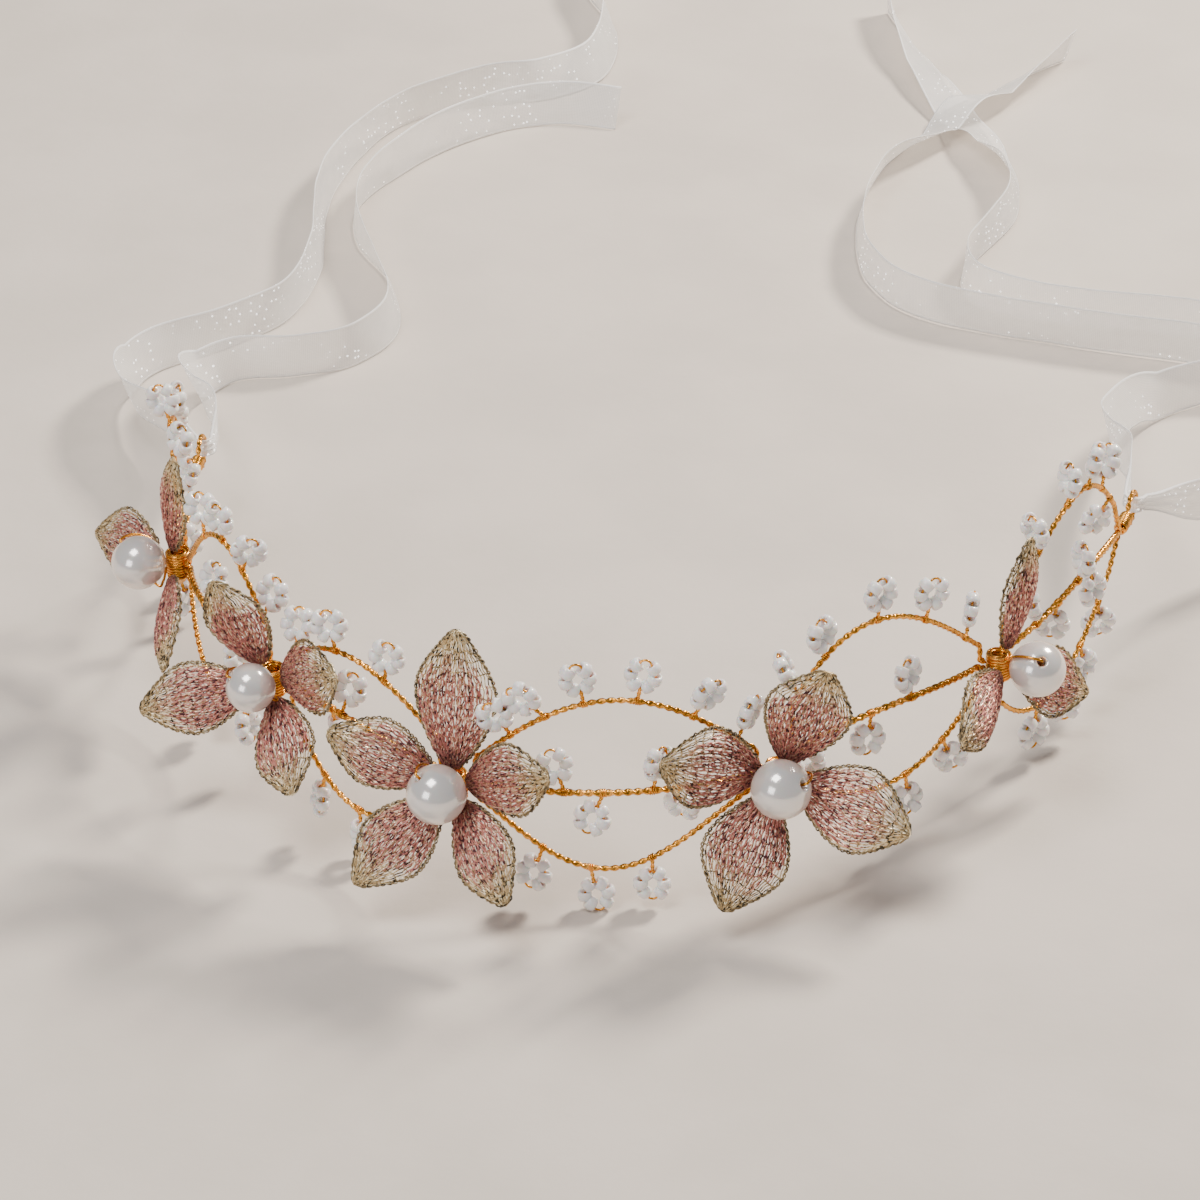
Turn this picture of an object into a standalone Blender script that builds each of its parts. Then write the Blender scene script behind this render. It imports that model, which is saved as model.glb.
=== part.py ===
"""Flower crown: a bridal hair vine of twisted gilt wire that stands in a half-ellipse.

Five flowers of thread petals with a threaded pearl sit on three wires each way, the wires
carry loops of seed beads, and an organza ribbon is folded through the loop at either end.

Frame: origin on the ground at the middle of the head opening, +X to the right as seen from
in front, +Y to the open back, +Z up. Lengths in the tables are in millimetres.
Each piece has its origin at the flower whose wires carry it, which is where they bend. A
pearl has its own on the hole it turns about, and a ribbon where it swivels in its loop.
Build: flowers first, then the wires between them, then the end loops and the ribbons.
"""

import math

import bmesh
import bpy
from mathutils import Matrix, Vector

MM = 0.001

# The band's half-ellipse in plan.
HALF_WIDTH = 90.0
HALF_DEPTH = 114.0

# Where the wires and the middle of each flower's binding lie, inward from the ellipse.
HUB_INSET = 1.5
VINE_INSET = 3.6
ARCH_INSET = 2.0
CLEARANCE = 0.35

# Bindings: the wire wrapped round the crossing of the vines behind each flower.
BINDING_RADIUS = 2.3
BINDING_HEIGHT = 5.6
BINDING_TURNS = 4
BINDING_WAIST = 0.82
BINDING_SIDES = 10

# Petals.
PETAL_START = 3.2
PETAL_LIFT = 2.2
PETAL_THICKNESS = 0.8
PETAL_BASE_WIDTH = 2.4
PETAL_TIP_WIDTH = 2.2
PETAL_WIDEST = 1.15
PETAL_FULLNESS = 0.75
PETAL_CROWN = 0.32
PETAL_BOW = 1.2
PETAL_ROWS = 6
PETAL_COLUMNS = 4

# Pearls and the wire that threads each of them.
PEARL_HOLE_RADIUS = 0.8
PEARL_WIRE_RADIUS = 0.35
PEARL_SEAT = BINDING_RADIUS + 0.5
PEARL_SIDES = 12
PEARL_RINGS = 9
HOLE_LEAN = 35.0
PEARL_WIRE_ANGLES = (-52.0, -32.0, -12.0, 6.0, 23.0, HOLE_LEAN)
PEARL_WIRE_ENTRY = 0.8
PEARL_WIRE_TAIL = 0.5

# Vine wires and their sprigs of seed beads.
VINE_RADIUS = {"upper": 0.5, "middle": 0.6, "lower": 0.5}
VINE_STACK = {"upper": 1.6, "middle": 0.0, "lower": -1.6}
VINE_STEP = 6.0
VINE_LEAST_STEPS = 6
STEM_RADIUS = 0.4
STEM_LENGTH = 1.7
BEAD_DIAMETER = 2.3
BEADS_IN_LOOP = 6
BEAD_SWELL = 1.04
BEAD_WAIST = 0.72
BEAD_LOOP_SQUASH = 0.9

# End loops.
END_BARREL_RADIUS = 1.3
END_BARREL_LENGTH = 5.5
END_BARREL_SHAPE = ((0.0, 0.9), (0.2, 1.0), (0.5, 1.05), (0.8, 1.0), (1.0, 0.85))
END_RING_RADIUS = 3.0
END_RING_WIRE = 0.5
END_RING_SINK = 0.4
END_RING_STEPS = 14

# Ribbons: one strip a side, folded through the end loop into two tails.
RIBBON_WIDTH = 10.0
RIBBON_PINCH = 3.2
RIBBON_THICKNESS = 0.4
RIBBON_FOLD_RADIUS = 1.6
RIBBON_FLARE = 26.0
RIBBON_STEP = 8.0
RIBBON_FOLD_TURNS = (-90.0, -135.0, 180.0, 135.0, 90.0)
CURVE_PARTS = 12
GROUND_GAP = 0.1

# Flowers from left to right: place on the band (degrees from the front, height), how far
# the flower turns to its right and tilts up, pearl diameter, direction of the pearl's hole,
# and each petal's direction round the flower, rise towards the front, length and width.
FLOWERS = (
    {
        "place": (-57.0, 24.0), "turn": 13.0, "tilt": 14.0, "pearl": 9.6, "hole": 137.0,
        "petals": ((81.0, 12.0, 23.0, 12.0), (194.0, 14.0, 23.0, 13.0), (328.0, 16.0, 22.5, 12.0)),
    },
    {
        "place": (-29.8, 27.0), "turn": 22.0, "tilt": 18.0, "pearl": 8.4, "hole": 152.0,
        "petals": (
            (24.0, 31.0, 23.5, 12.5), (116.0, 26.0, 20.5, 11.5),
            (205.0, 18.0, 23.0, 12.0), (308.0, 24.0, 20.5, 12.5),
        ),
    },
    {
        "place": (-5.0, 21.6), "turn": 0.0, "tilt": 20.0, "pearl": 10.0, "hole": 129.0,
        "petals": (
            (21.0, 24.0, 22.5, 12.0), (91.0, 9.0, 27.5, 14.0), (162.0, 18.0, 22.0, 12.0),
            (236.0, 20.0, 22.5, 12.0), (314.0, 22.0, 22.5, 11.0),
        ),
    },
    {
        "place": (29.7, 23.0), "turn": -20.0, "tilt": 17.0, "pearl": 10.0, "hole": 26.0,
        "petals": (
            (70.0, 22.0, 23.0, 14.0), (163.0, 31.5, 23.5, 14.0),
            (245.0, 20.0, 23.5, 14.5), (341.0, 22.0, 23.5, 14.5),
        ),
    },
    {
        "place": (56.6, 27.2), "turn": 9.0, "tilt": 14.0, "pearl": 9.6, "hole": 130.0,
        "petals": ((78.0, 16.5, 23.5, 11.0), (187.0, 8.0, 23.0, 12.5), (322.0, 10.0, 22.5, 12.0)),
    },
)

LEFT_END = (-79.5, 17.5)
RIGHT_END = (82.5, 28.5)

# The flower that carries each span, counted from 0: the spans and flowers hang in two chains
# from the middle flower.
SPAN_CARRIERS = (0, 1, 2, 2, 3, 4)

# Vines of each span, from the left end to the right: height of the arch above the straight
# line between its ends, skew of its crest (under 1 leans to the left), fullness (over 1 is
# slimmer), and its sprigs: place along the span, up (1) or down (-1), slant to the right,
# lean to the outside and twist of the bead loop, in degrees.
SPANS = (
    {
        "upper": (19.0, 1.1, 1.0, (
            (0.22, 1, -10, 10, 60), (0.40, 1, 12, -12, 20), (0.56, 1, -8, 14, 75), (0.74, 1, 10, -16, 35),
        )),
        "middle": (2.0, 1.0, 1.0, ((0.38, 1, -10, -20, 30), (0.60, -1, 10, -20, 60))),
        "lower": (-10.0, 1.0, 1.0, ((0.36, -1, 0, 8, 20), (0.62, -1, -8, -10, 60))),
    },
    {
        "upper": (18.5, 1.5, 1.0, (
            (0.46, 1, -12, 0, 40), (0.64, 1, 8, 8, 20), (0.78, 1, 22, -6, 60), (0.90, 1, 8, -20, 20),
        )),
        "middle": (2.0, 1.0, 1.0, ((0.42, 1, -8, -22, 20), (0.64, -1, 6, -14, 60))),
        "lower": (-12.0, 1.0, 1.0, ((0.45, -1, -6, 4, 20), (0.72, -1, 10, -8, 60))),
    },
    {
        "upper": (14.0, 1.0, 0.85, ((0.12, 1, -14, -22, 20), (0.40, 1, -8, 6, 30), (0.66, 1, 8, 0, 15))),
        "middle": (3.0, 1.0, 1.0, ((0.42, 1, 10, -16, 15), (0.36, -1, 4, -10, 40))),
        "lower": (-13.0, 1.0, 1.0, ((0.30, -1, -10, 6, 30), (0.50, -1, 12, 6, 20))),
    },
    {
        "upper": (17.0, 1.0, 1.0, (
            (0.18, 1, -26, 16, 20), (0.29, 1, -48, 6, 0), (0.41, 1, -11, 4, 10),
            (0.57, 1, 11, 0, -10), (0.74, 1, 30, 4, 20), (0.88, 1, 30, -14, 50),
        )),
        "middle": (0.5, 1.0, 1.0, (
            (0.35, 1, -20, -8, 10), (0.47, -1, -22, 6, 10), (0.62, 1, 12, -8, 40), (0.69, -1, 14, -18, 30),
        )),
        "lower": (-13.1, 0.95, 1.6, ((0.28, -1, -16, 8, 10), (0.43, -1, 12, 10, 0), (0.62, -1, 0, 6, 10))),
    },
    {
        "upper": (21.5, 0.7, 1.0, (
            (0.09, 1, -20, -20, 60), (0.19, 1, -12, 4, 20), (0.40, 1, 2, 2, 0), (0.62, 1, 10, 4, -15),
            (0.84, 1, 25, -10, 40),
        )),
        "middle": (5.0, 0.7, 1.0, ((0.16, -1, -8, -14, 30), (0.39, -1, -6, 0, 10), (0.57, 1, -12, 0, 15))),
        "lower": (-9.5, 1.0, 1.0, ((0.56, -1, 2, 4, 10), (0.74, -1, 26, 0, 30))),
    },
    {
        "upper": (20.0, 0.95, 1.0, (
            (0.24, 1, -12, -4, 70), (0.42, 1, 2, 0, 55), (0.58, 1, 14, 6, 20), (0.72, 1, 30, -4, 60),
            (0.82, -1, -10, -24, 40),
        )),
        "middle": (2.5, 1.2, 1.0, (
            (0.26, 1, -12, -6, 40), (0.40, -1, 4, -12, 60), (0.55, 1, -4, 10, 50), (0.66, -1, 8, 6, 20),
        )),
        "lower": (-15.0, 0.65, 1.0, (
            (0.30, -1, -10, 2, 20), (0.45, -1, 10, 8, 50), (0.62, -1, 14, 4, 20), (0.78, -1, 12, 0, 55),
        )),
    },
)

# Ribbon tails: points along the middle of each, (x, y, height of the middle, lean from
# upright), from just behind the end loop to the cut end. A point with no height of its own
# stands on the ground on the ribbon's edge.
TAILS = {
    "left": (
        (
            (-101, 6, 13, 10), (-114, 18, 9.5, 20), (-121, 33, 6.6, 15), (-119, 45, 0, 8),
            (-109, 57, 0, 0), (-100, 73, 0, 0), (-101, 95, 0, 10), (-108, 120, 0, 10),
            (-110, 141, 0, 5), (-105, 168, 0, -10), (-91, 186, 0, -5), (-78, 193, 0, 15),
            (-69, 208, 0, 25), (-72, 232, 0, 20), (-84, 256, 0, 0), (-82, 280, 0, -8),
            (-66, 292, 0, 0),
        ),
        (
            (-93, 10, 13, 0), (-101, 22, 9.5, 15), (-107, 34, 7, 25), (-102, 45, 0, 5),
            (-90, 50, 0, -4), (-80, 58, 0, 0), (-77, 74, 0, 12), (-86, 94, 0, 20),
            (-96, 109, 0, 0), (-101, 126, 0, -8), (-98, 144, 0, 0), (-92, 160, 0, 5),
            (-82, 174, 0, 8), (-70, 182, 0, 20), (-57, 183, 0, 30),
        ),
    ),
    "right": (
        (
            (99, 15, 20, -10), (112, 31, 11, -18), (119, 56, 6.8, -10), (117, 86, 0, 0),
            (106, 106, 0, 0), (86, 113, 0, 8), (58, 112, 0, 8), (40, 116, 0, 0),
            (34, 128, 0, -6), (37, 144, 0, 0), (39, 158, 0, 10), (36, 173, 0, 25),
            (28, 189, 3.8, 60), (19, 204, 1.4, 85), (8, 224, 3, 68), (-3, 245, 0, 30),
            (-10, 262, 0, 5),
        ),
        (
            (84, 22, 22, 0), (79, 37, 17, 10), (76, 54, 11.5, 20), (80, 74, 7, 18),
            (90, 86, 0, 5), (100, 90, 0, 0), (101, 98, 0, 0), (90, 102, 0, 5),
            (60, 103, 0, 8), (30, 107, 0, 5), (15, 120, 0, 0), (8, 144, 0, -10),
            (8, 170, 0, -25), (14, 189, 0, -58), (20, 205, 6.4, -76), (28, 224, 0, -55),
            (38, 244, 0, -20),
        ),
    ),
}

COLOURS = {
    "petal_thread": ((0.52, 0.30, 0.27, 1.0), 0.55, 0.35),
    "pearl": ((0.90, 0.86, 0.82, 1.0), 0.18, 0.0),
    "gilt_wire": ((0.83, 0.50, 0.16, 1.0), 0.28, 1.0),
    "beaded_vine": ((0.90, 0.78, 0.58, 1.0), 0.35, 0.4),
    "organza": ((0.93, 0.93, 0.93, 1.0), 0.45, 0.0),
}


def clear_scene():
    for thing in list(bpy.data.objects):
        bpy.data.objects.remove(thing, do_unlink=True)


def finish_for(name):
    """The material of that finish, made once for each piece that wears it."""
    colour, roughness, metallic = COLOURS[name]
    material = bpy.data.materials.new(name)
    material.use_nodes = True
    shader = material.node_tree.nodes["Principled BSDF"]
    shader.inputs["Base Color"].default_value = colour
    shader.inputs["Roughness"].default_value = roughness
    shader.inputs["Metallic"].default_value = metallic
    material.diffuse_color = colour
    return material


def add_object(name, data, finish=None):
    thing = bpy.data.objects.new(name, data)
    bpy.context.scene.collection.objects.link(thing)
    if finish:
        data.materials.clear()
        data.materials.append(finish_for(finish))
    return thing


def tube_mesh(name, points, radius, sides_step, closed=False, radii=None):
    """A mesh tube along the points (millimetres), from a curve with a round bevel."""
    curve = bpy.data.curves.new(name, "CURVE")
    curve.dimensions = "3D"
    curve.bevel_depth = radius * MM
    curve.bevel_resolution = sides_step
    curve.use_fill_caps = not closed
    spline = curve.splines.new("POLY")
    spline.points.add(len(points) - 1)
    spline.use_cyclic_u = closed
    for index, (spot, place) in enumerate(zip(spline.points, points)):
        spot.co = (*(Vector(place) * MM), 1.0)
        spot.radius = radii[index] if radii else 1.0
    guide = add_object(name + "_guide", curve)
    bpy.context.view_layer.update()
    mesh = bpy.data.meshes.new_from_object(guide.evaluated_get(bpy.context.evaluated_depsgraph_get()))
    bpy.data.objects.remove(guide, do_unlink=True)
    bpy.data.curves.remove(curve)
    shape = bmesh.new()
    shape.from_mesh(mesh)
    bmesh.ops.remove_doubles(shape, verts=shape.verts[:], dist=0.01 * MM)
    bmesh.ops.recalc_face_normals(shape, faces=shape.faces[:])
    shape.to_mesh(mesh)
    shape.free()
    return mesh


def united(name, meshes):
    """One closed mesh from overlapping ones, by Boolean union."""
    base = add_object(name + "_base", meshes[0])
    tools = bpy.data.collections.new(name + "_tools")
    for index, mesh in enumerate(meshes[1:]):
        tool = bpy.data.objects.new(f"{name}_tool_{index}", mesh)
        tools.objects.link(tool)
        bpy.context.scene.collection.objects.link(tool)
    join = base.modifiers.new("join", "BOOLEAN")
    join.operation = "UNION"
    join.solver = "EXACT"
    join.operand_type = "COLLECTION"
    join.collection = tools
    bpy.context.view_layer.update()
    mesh = bpy.data.meshes.new_from_object(base.evaluated_get(bpy.context.evaluated_depsgraph_get()))
    for tool in list(tools.objects):
        bpy.data.objects.remove(tool, do_unlink=True)
    bpy.data.objects.remove(base, do_unlink=True)
    bpy.data.collections.remove(tools)
    return mesh


def smooth(mesh, angle=40.0):
    mesh.shade_smooth()
    mesh.set_sharp_from_angle(angle=math.radians(angle))


def band_frame(degrees):
    """The band's outward direction and its tangent to the right, seen from outside."""
    turn = math.radians(degrees)
    outward = Vector((HALF_DEPTH * math.sin(turn), -HALF_WIDTH * math.cos(turn), 0.0)).normalized()
    return outward, Vector((-outward.y, outward.x, 0.0))


def band_point(degrees, height, inset):
    turn = math.radians(degrees)
    outward, _ = band_frame(degrees)
    return Vector((HALF_WIDTH * math.sin(turn), -HALF_DEPTH * math.cos(turn), height)) - outward * inset


def flower_frame(flower):
    """The flower's hub, and its front, right and up directions."""
    degrees, height = flower["place"]
    outward, right = band_frame(degrees)
    turned = Matrix.Rotation(math.radians(flower["turn"]), 3, "Z")
    outward = turned @ outward
    right = turned @ right
    tilted = Matrix.Rotation(-math.radians(flower["tilt"]), 3, right)
    return band_point(degrees, height, HUB_INSET), tilted @ outward, right, tilted @ Vector((0, 0, 1))


def petal_half_width(along, width):
    """Half the petal's width at a share of its length: pinched base, widest past the middle."""
    along = min(max(along, 0.0), 1.0)
    swell = math.sin(math.pi * along ** PETAL_WIDEST) ** PETAL_FULLNESS
    end = PETAL_BASE_WIDTH * (1.0 - along) + PETAL_TIP_WIDTH * along
    return 0.5 * (end + (width - end) * swell)


def add_petal(name, flower, petal):
    direction, rise, length, width = petal
    hub, front, right, up = flower_frame(flower)
    turn = math.radians(direction)
    radial = right * math.cos(turn) + up * math.sin(turn)
    along_axis = radial * math.cos(math.radians(rise)) + front * math.sin(math.radians(rise))
    side = front.cross(radial)
    face = along_axis.cross(side)
    start = hub + radial * PETAL_START + front * PETAL_LIFT
    reach = length - PETAL_START
    shape = bmesh.new()
    bmesh.ops.create_grid(shape, x_segments=PETAL_ROWS, y_segments=PETAL_COLUMNS, size=1.0)
    for spot in shape.verts:
        along = 0.5 * (spot.co.x + 1.0)
        across = spot.co.y
        half = petal_half_width(along, width)
        lift = PETAL_BOW * math.sin(math.pi * along) - PETAL_CROWN * half * across * across
        spot.co = (start + along_axis * (along * reach) + side * (across * half) + face * lift) * MM
    bmesh.ops.recalc_face_normals(shape, faces=shape.faces[:])
    if shape.faces[:][0].normal.dot(face) < 0:
        bmesh.ops.reverse_faces(shape, faces=shape.faces[:])
    mesh = bpy.data.meshes.new(name)
    shape.to_mesh(mesh)
    shape.free()
    smooth(mesh, 60.0)
    thing = add_object(name, mesh, "petal_thread")
    wall = thing.modifiers.new("wall", "SOLIDIFY")
    wall.thickness = PETAL_THICKNESS * MM
    wall.offset = 0.0
    place_at(thing, hub)


def place_at(thing, spot):
    """Moves the object's origin to the spot (millimetres), and leaves its shape where it is."""
    thing.data.transform(Matrix.Translation(-spot * MM))
    thing.location = spot * MM


def hole_axis(flower):
    """From the pearl's middle out through the end of its hole that shows."""
    _, front, right, up = flower_frame(flower)
    turn = math.radians(flower["hole"])
    outward = right * math.cos(turn) + up * math.sin(turn)
    lean = math.radians(HOLE_LEAN)
    return outward, outward * math.cos(lean) + front * math.sin(lean)


def pearl_centre(flower):
    hub, front, _, _ = flower_frame(flower)
    return hub + front * (PEARL_SEAT + 0.5 * flower["pearl"])


def turned_mesh(name, profile, sides):
    """A closed body turned about Z from a closed profile of (radius, height), in millimetres."""
    shape = bmesh.new()
    spots = [shape.verts.new((radius * MM, 0.0, height * MM)) for radius, height in profile]
    edges = [shape.edges.new(pair) for pair in zip(spots, spots[1:] + spots[:1])]
    bmesh.ops.spin(
        shape, geom=spots + edges, axis=(0, 0, 1), cent=(0, 0, 0), angle=2.0 * math.pi,
        steps=sides, use_merge=True,
    )
    bmesh.ops.remove_doubles(shape, verts=shape.verts[:], dist=0.01 * MM)
    bmesh.ops.recalc_face_normals(shape, faces=shape.faces[:])
    mesh = bpy.data.meshes.new(name)
    shape.to_mesh(mesh)
    shape.free()
    smooth(mesh, 60.0)
    return mesh


def add_pearl(name, flower):
    """A ball with a hole drilled through its middle, turned round the hole."""
    radius = 0.5 * flower["pearl"]
    hole_edge = math.asin(PEARL_HOLE_RADIUS / radius)
    angles = [
        hole_edge + (math.pi - 2.0 * hole_edge) * step / PEARL_RINGS
        for step in range(PEARL_RINGS + 1)
    ]
    profile = [(radius * math.sin(angle), radius * math.cos(angle)) for angle in angles]
    thing = add_object(name, turned_mesh(name, profile, PEARL_SIDES), "pearl")
    _, axis = hole_axis(flower)
    thing.location = pearl_centre(flower) * MM
    thing.rotation_mode = "QUATERNION"
    thing.rotation_quaternion = Vector((0, 0, 1)).rotation_difference(axis)


def pearl_wire_points(flower):
    """From behind the pearl over its side, down the hole and out at the back."""
    radius = 0.5 * flower["pearl"]
    outward, axis = hole_axis(flower)
    _, front, _, _ = flower_frame(flower)
    centre = pearl_centre(flower)
    orbit = radius + PEARL_WIRE_RADIUS + CLEARANCE
    points = []
    for angle in PEARL_WIRE_ANGLES:
        turn = math.radians(angle)
        points.append(centre + (outward * math.cos(turn) + front * math.sin(turn)) * orbit)
    points.append(centre + axis * (PEARL_WIRE_ENTRY * radius))
    points.append(centre - axis * (radius + PEARL_WIRE_TAIL))
    return points


def add_binding(name, flower):
    """A barrel of wire turns, turned from a profile with one swell for each turn."""
    hub, _, _, _ = flower_frame(flower)
    steps = 2 * BINDING_TURNS
    profile = [(0.0, -0.5 * BINDING_HEIGHT)]
    for step in range(steps + 1):
        radius = BINDING_RADIUS * (1.0 if step % 2 else BINDING_WAIST)
        profile.append((radius, BINDING_HEIGHT * (step / steps - 0.5)))
    profile.append((0.0, 0.5 * BINDING_HEIGHT))
    thing = add_object(name, turned_mesh(name, profile, BINDING_SIDES), "gilt_wire")
    thing.location = hub * MM


def add_flower(number, flower):
    for index, petal in enumerate(flower["petals"]):
        add_petal(f"flower_{number}_petal_{index + 1}", flower, petal)
    add_binding(f"flower_{number}_binding", flower)
    add_pearl(f"flower_{number}_pearl", flower)
    wire = tube_mesh(f"flower_{number}_pearl_wire", pearl_wire_points(flower), PEARL_WIRE_RADIUS, 1)
    smooth(wire)
    thing = add_object(f"flower_{number}_pearl_wire", wire, "gilt_wire")
    place_at(thing, flower_frame(flower)[0])


def span_ends(number):
    """Place and height of both ends of a span, counted from the left end."""
    stops = [LEFT_END] + [flower["place"] for flower in FLOWERS] + [RIGHT_END]
    return stops[number], stops[number + 1]


def vine_point(number, strand, share):
    rise, skew, fullness, _ = SPANS[number][strand]
    (first, low), (last, high) = span_ends(number)
    crest = max(math.sin(math.pi * share ** skew), 0.0) ** fullness
    height = low + (high - low) * share + rise * crest + VINE_STACK[strand]
    near_hub = 2.0 * share - 1.0
    if (number == 0 and near_hub < 0.0) or (number == len(SPANS) - 1 and near_hub > 0.0):
        near_hub = 0.0
    inset = ARCH_INSET + (VINE_INSET - ARCH_INSET) * near_hub * near_hub
    return band_point(first + (last - first) * share, height, inset)


def vine_margins(number, strand):
    """How near to each end the wire may start, so that it clears what holds it."""
    reach = BINDING_RADIUS + VINE_RADIUS[strand] + CLEARANCE
    length = (vine_point(number, "middle", 1.0) - vine_point(number, "middle", 0.0)).length
    return reach / length, length


def vine_points(number, strand):
    margin, length = vine_margins(number, strand)
    steps = max(VINE_LEAST_STEPS, round(length / VINE_STEP))
    return [
        vine_point(number, strand, margin + (1.0 - 2.0 * margin) * step / steps)
        for step in range(steps + 1)
    ]


def sprig_meshes(name, number, strand, sprig):
    """A stem and its ring of beads, as two tubes that overlap the wire and each other."""
    share, upward, slant, lean, twist = sprig
    foot = vine_point(number, strand, share)
    (first, _), (last, _) = span_ends(number)
    outward, right = band_frame(first + (last - first) * share)
    slope = math.radians(slant)
    tip = math.radians(lean)
    direction = Vector((0, 0, upward)) * math.cos(slope) * math.cos(tip)
    direction = (direction + right * math.sin(slope) + outward * math.sin(tip)).normalized()
    across = Matrix.Rotation(math.radians(twist), 3, direction) @ right
    across = (across - direction * across.dot(direction)).normalized()
    half_long = 0.5 * BEADS_IN_LOOP * BEAD_DIAMETER / math.pi
    half_wide = BEAD_LOOP_SQUASH * half_long
    centre = foot + direction * (STEM_LENGTH + half_long + 0.5 * BEAD_DIAMETER)
    ring = []
    radii = []
    for step in range(2 * BEADS_IN_LOOP):
        turn = 2.0 * math.pi * (step + 0.5) / (2 * BEADS_IN_LOOP)
        ring.append(centre + direction * half_long * math.sin(turn) + across * half_wide * math.cos(turn))
        radii.append(1.0 if step % 2 == 0 else BEAD_WAIST)
    stem_end = centre - direction * half_long
    stem = tube_mesh(name + "_stem", [foot, foot.lerp(stem_end, 0.5), stem_end], STEM_RADIUS, 0)
    beads = tube_mesh(name + "_beads", ring, 0.5 * BEAD_SWELL * BEAD_DIAMETER, 0, closed=True, radii=radii)
    return [stem, beads]


def add_vine(number, strand):
    name = f"span_{number}_{strand}_vine"
    meshes = [tube_mesh(name + "_wire", vine_points(number, strand), VINE_RADIUS[strand], 1)]
    for index, sprig in enumerate(SPANS[number][strand][3]):
        meshes += sprig_meshes(f"{name}_{index}", number, strand, sprig)
    mesh = united(name, meshes)
    smooth(mesh)
    thing = add_object(name, mesh, "beaded_vine")
    place_at(thing, flower_frame(FLOWERS[SPAN_CARRIERS[number]])[0])


def end_frame(side):
    """Where the barrel starts, which way it runs, and the band's outward direction there."""
    degrees, height = LEFT_END if side == "left" else RIGHT_END
    outward, right = band_frame(degrees)
    away = -right if side == "left" else right
    return band_point(degrees, height, ARCH_INSET), away, outward


def ring_centre(side):
    start, away, _ = end_frame(side)
    return start + away * (END_BARREL_LENGTH + END_RING_RADIUS - END_RING_SINK)


def fold_centre(side):
    """The back of the ring, which the ribbon is folded round."""
    _, away, _ = end_frame(side)
    return ring_centre(side) + away * END_RING_RADIUS


def add_end_loop(side):
    start, away, _ = end_frame(side)
    barrel = tube_mesh(
        side + "_barrel",
        [start + away * END_BARREL_LENGTH * share for share, _ in END_BARREL_SHAPE],
        END_BARREL_RADIUS, 1, radii=[swell for _, swell in END_BARREL_SHAPE],
    )
    middle = ring_centre(side)
    ring = []
    for step in range(END_RING_STEPS):
        turn = 2.0 * math.pi * step / END_RING_STEPS
        ring.append(middle + (away * math.cos(turn) + Vector((0, 0, math.sin(turn)))) * END_RING_RADIUS)
    loop = tube_mesh(side + "_ring", ring, END_RING_WIRE, 1, closed=True)
    mesh = united(side + "_end_loop", [barrel, loop])
    smooth(mesh)
    thing = add_object(side + "_end_loop", mesh, "gilt_wire")
    place_at(thing, flower_frame(FLOWERS[0] if side == "left" else FLOWERS[-1])[0])


def curve_through(points, step):
    """Points a step apart along a smooth curve through the given ones."""
    dense = []
    count = len(points)
    for index in range(count - 1):
        before = points[max(index - 1, 0)]
        after = points[min(index + 2, count - 1)]
        here, there = points[index], points[index + 1]
        for part in range(CURVE_PARTS):
            t = part / CURVE_PARTS
            dense.append([
                0.5 * (2 * b + (c - a) * t + (2 * a - 5 * b + 4 * c - d) * t ** 2
                       + (3 * b - a - 3 * c + d) * t ** 3)
                for a, b, c, d in zip(before, here, there, after)
            ])
    dense.append(list(points[-1]))
    lengths = [0.0]
    for one, two in zip(dense, dense[1:]):
        lengths.append(lengths[-1] + (Vector(two[:3]) - Vector(one[:3])).length)
    total = lengths[-1]
    pieces = max(2, round(total / step))
    found = []
    index = 0
    for piece in range(pieces + 1):
        wanted = total * piece / pieces
        while index < len(dense) - 2 and lengths[index + 1] < wanted:
            index += 1
        share = (wanted - lengths[index]) / max(lengths[index + 1] - lengths[index], 1e-9)
        found.append([a + (b - a) * share for a, b in zip(dense[index], dense[index + 1])])
    return found


def ribbon_stations(side):
    """Stations along the whole strip, end to end: middle, direction of the width, and width."""
    _, away, outward = end_frame(side)
    centre = fold_centre(side)
    outer, inner = TAILS[side]
    fold = []
    for degrees in RIBBON_FOLD_TURNS:
        turn = math.radians(degrees)
        spot = centre + (away * math.cos(turn) - outward * math.sin(turn)) * RIBBON_FOLD_RADIUS
        fold.append([*spot, 0.0])
    out_tail = curve_through([fold[0]] + [list(map(float, spot)) for spot in outer], RIBBON_STEP)
    in_tail = curve_through([fold[-1]] + [list(map(float, spot)) for spot in inner], RIBBON_STEP)
    route = out_tail[:0:-1] + fold + in_tail[1:]
    places = [Vector(spot[:3]) for spot in route]
    for place, spot in zip(places, route):
        lean = math.radians(spot[3])
        standing = 0.5 * RIBBON_WIDTH * abs(math.cos(lean)) + 0.5 * RIBBON_THICKNESS + GROUND_GAP
        place.z = max(place.z, standing)
    from_fold = [0.0] * len(route)
    first = len(out_tail) - 1
    last = first + len(fold) - 1
    for index in range(first - 1, -1, -1):
        from_fold[index] = from_fold[index + 1] + (places[index + 1] - places[index]).length
    for index in range(last + 1, len(route)):
        from_fold[index] = from_fold[index - 1] + (places[index] - places[index - 1]).length
    stations = []
    for index, spot in enumerate(route):
        ahead = places[min(index + 1, len(route) - 1)] - places[max(index - 1, 0)]
        ahead = ahead.normalized()
        flat = ahead.cross(Vector((0, 0, 1))).normalized()
        if index > last:
            flat = -flat
        lean = math.radians(spot[3])
        up = (Vector((0, 0, 1)) * math.cos(lean) + flat * math.sin(lean)).normalized()
        up = (up - ahead * up.dot(ahead)).normalized()
        flare = min(from_fold[index] / RIBBON_FLARE, 1.0)
        width = RIBBON_PINCH + (RIBBON_WIDTH - RIBBON_PINCH) * flare * flare * (3.0 - 2.0 * flare)
        stations.append((places[index], up, width))
    return stations


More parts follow.
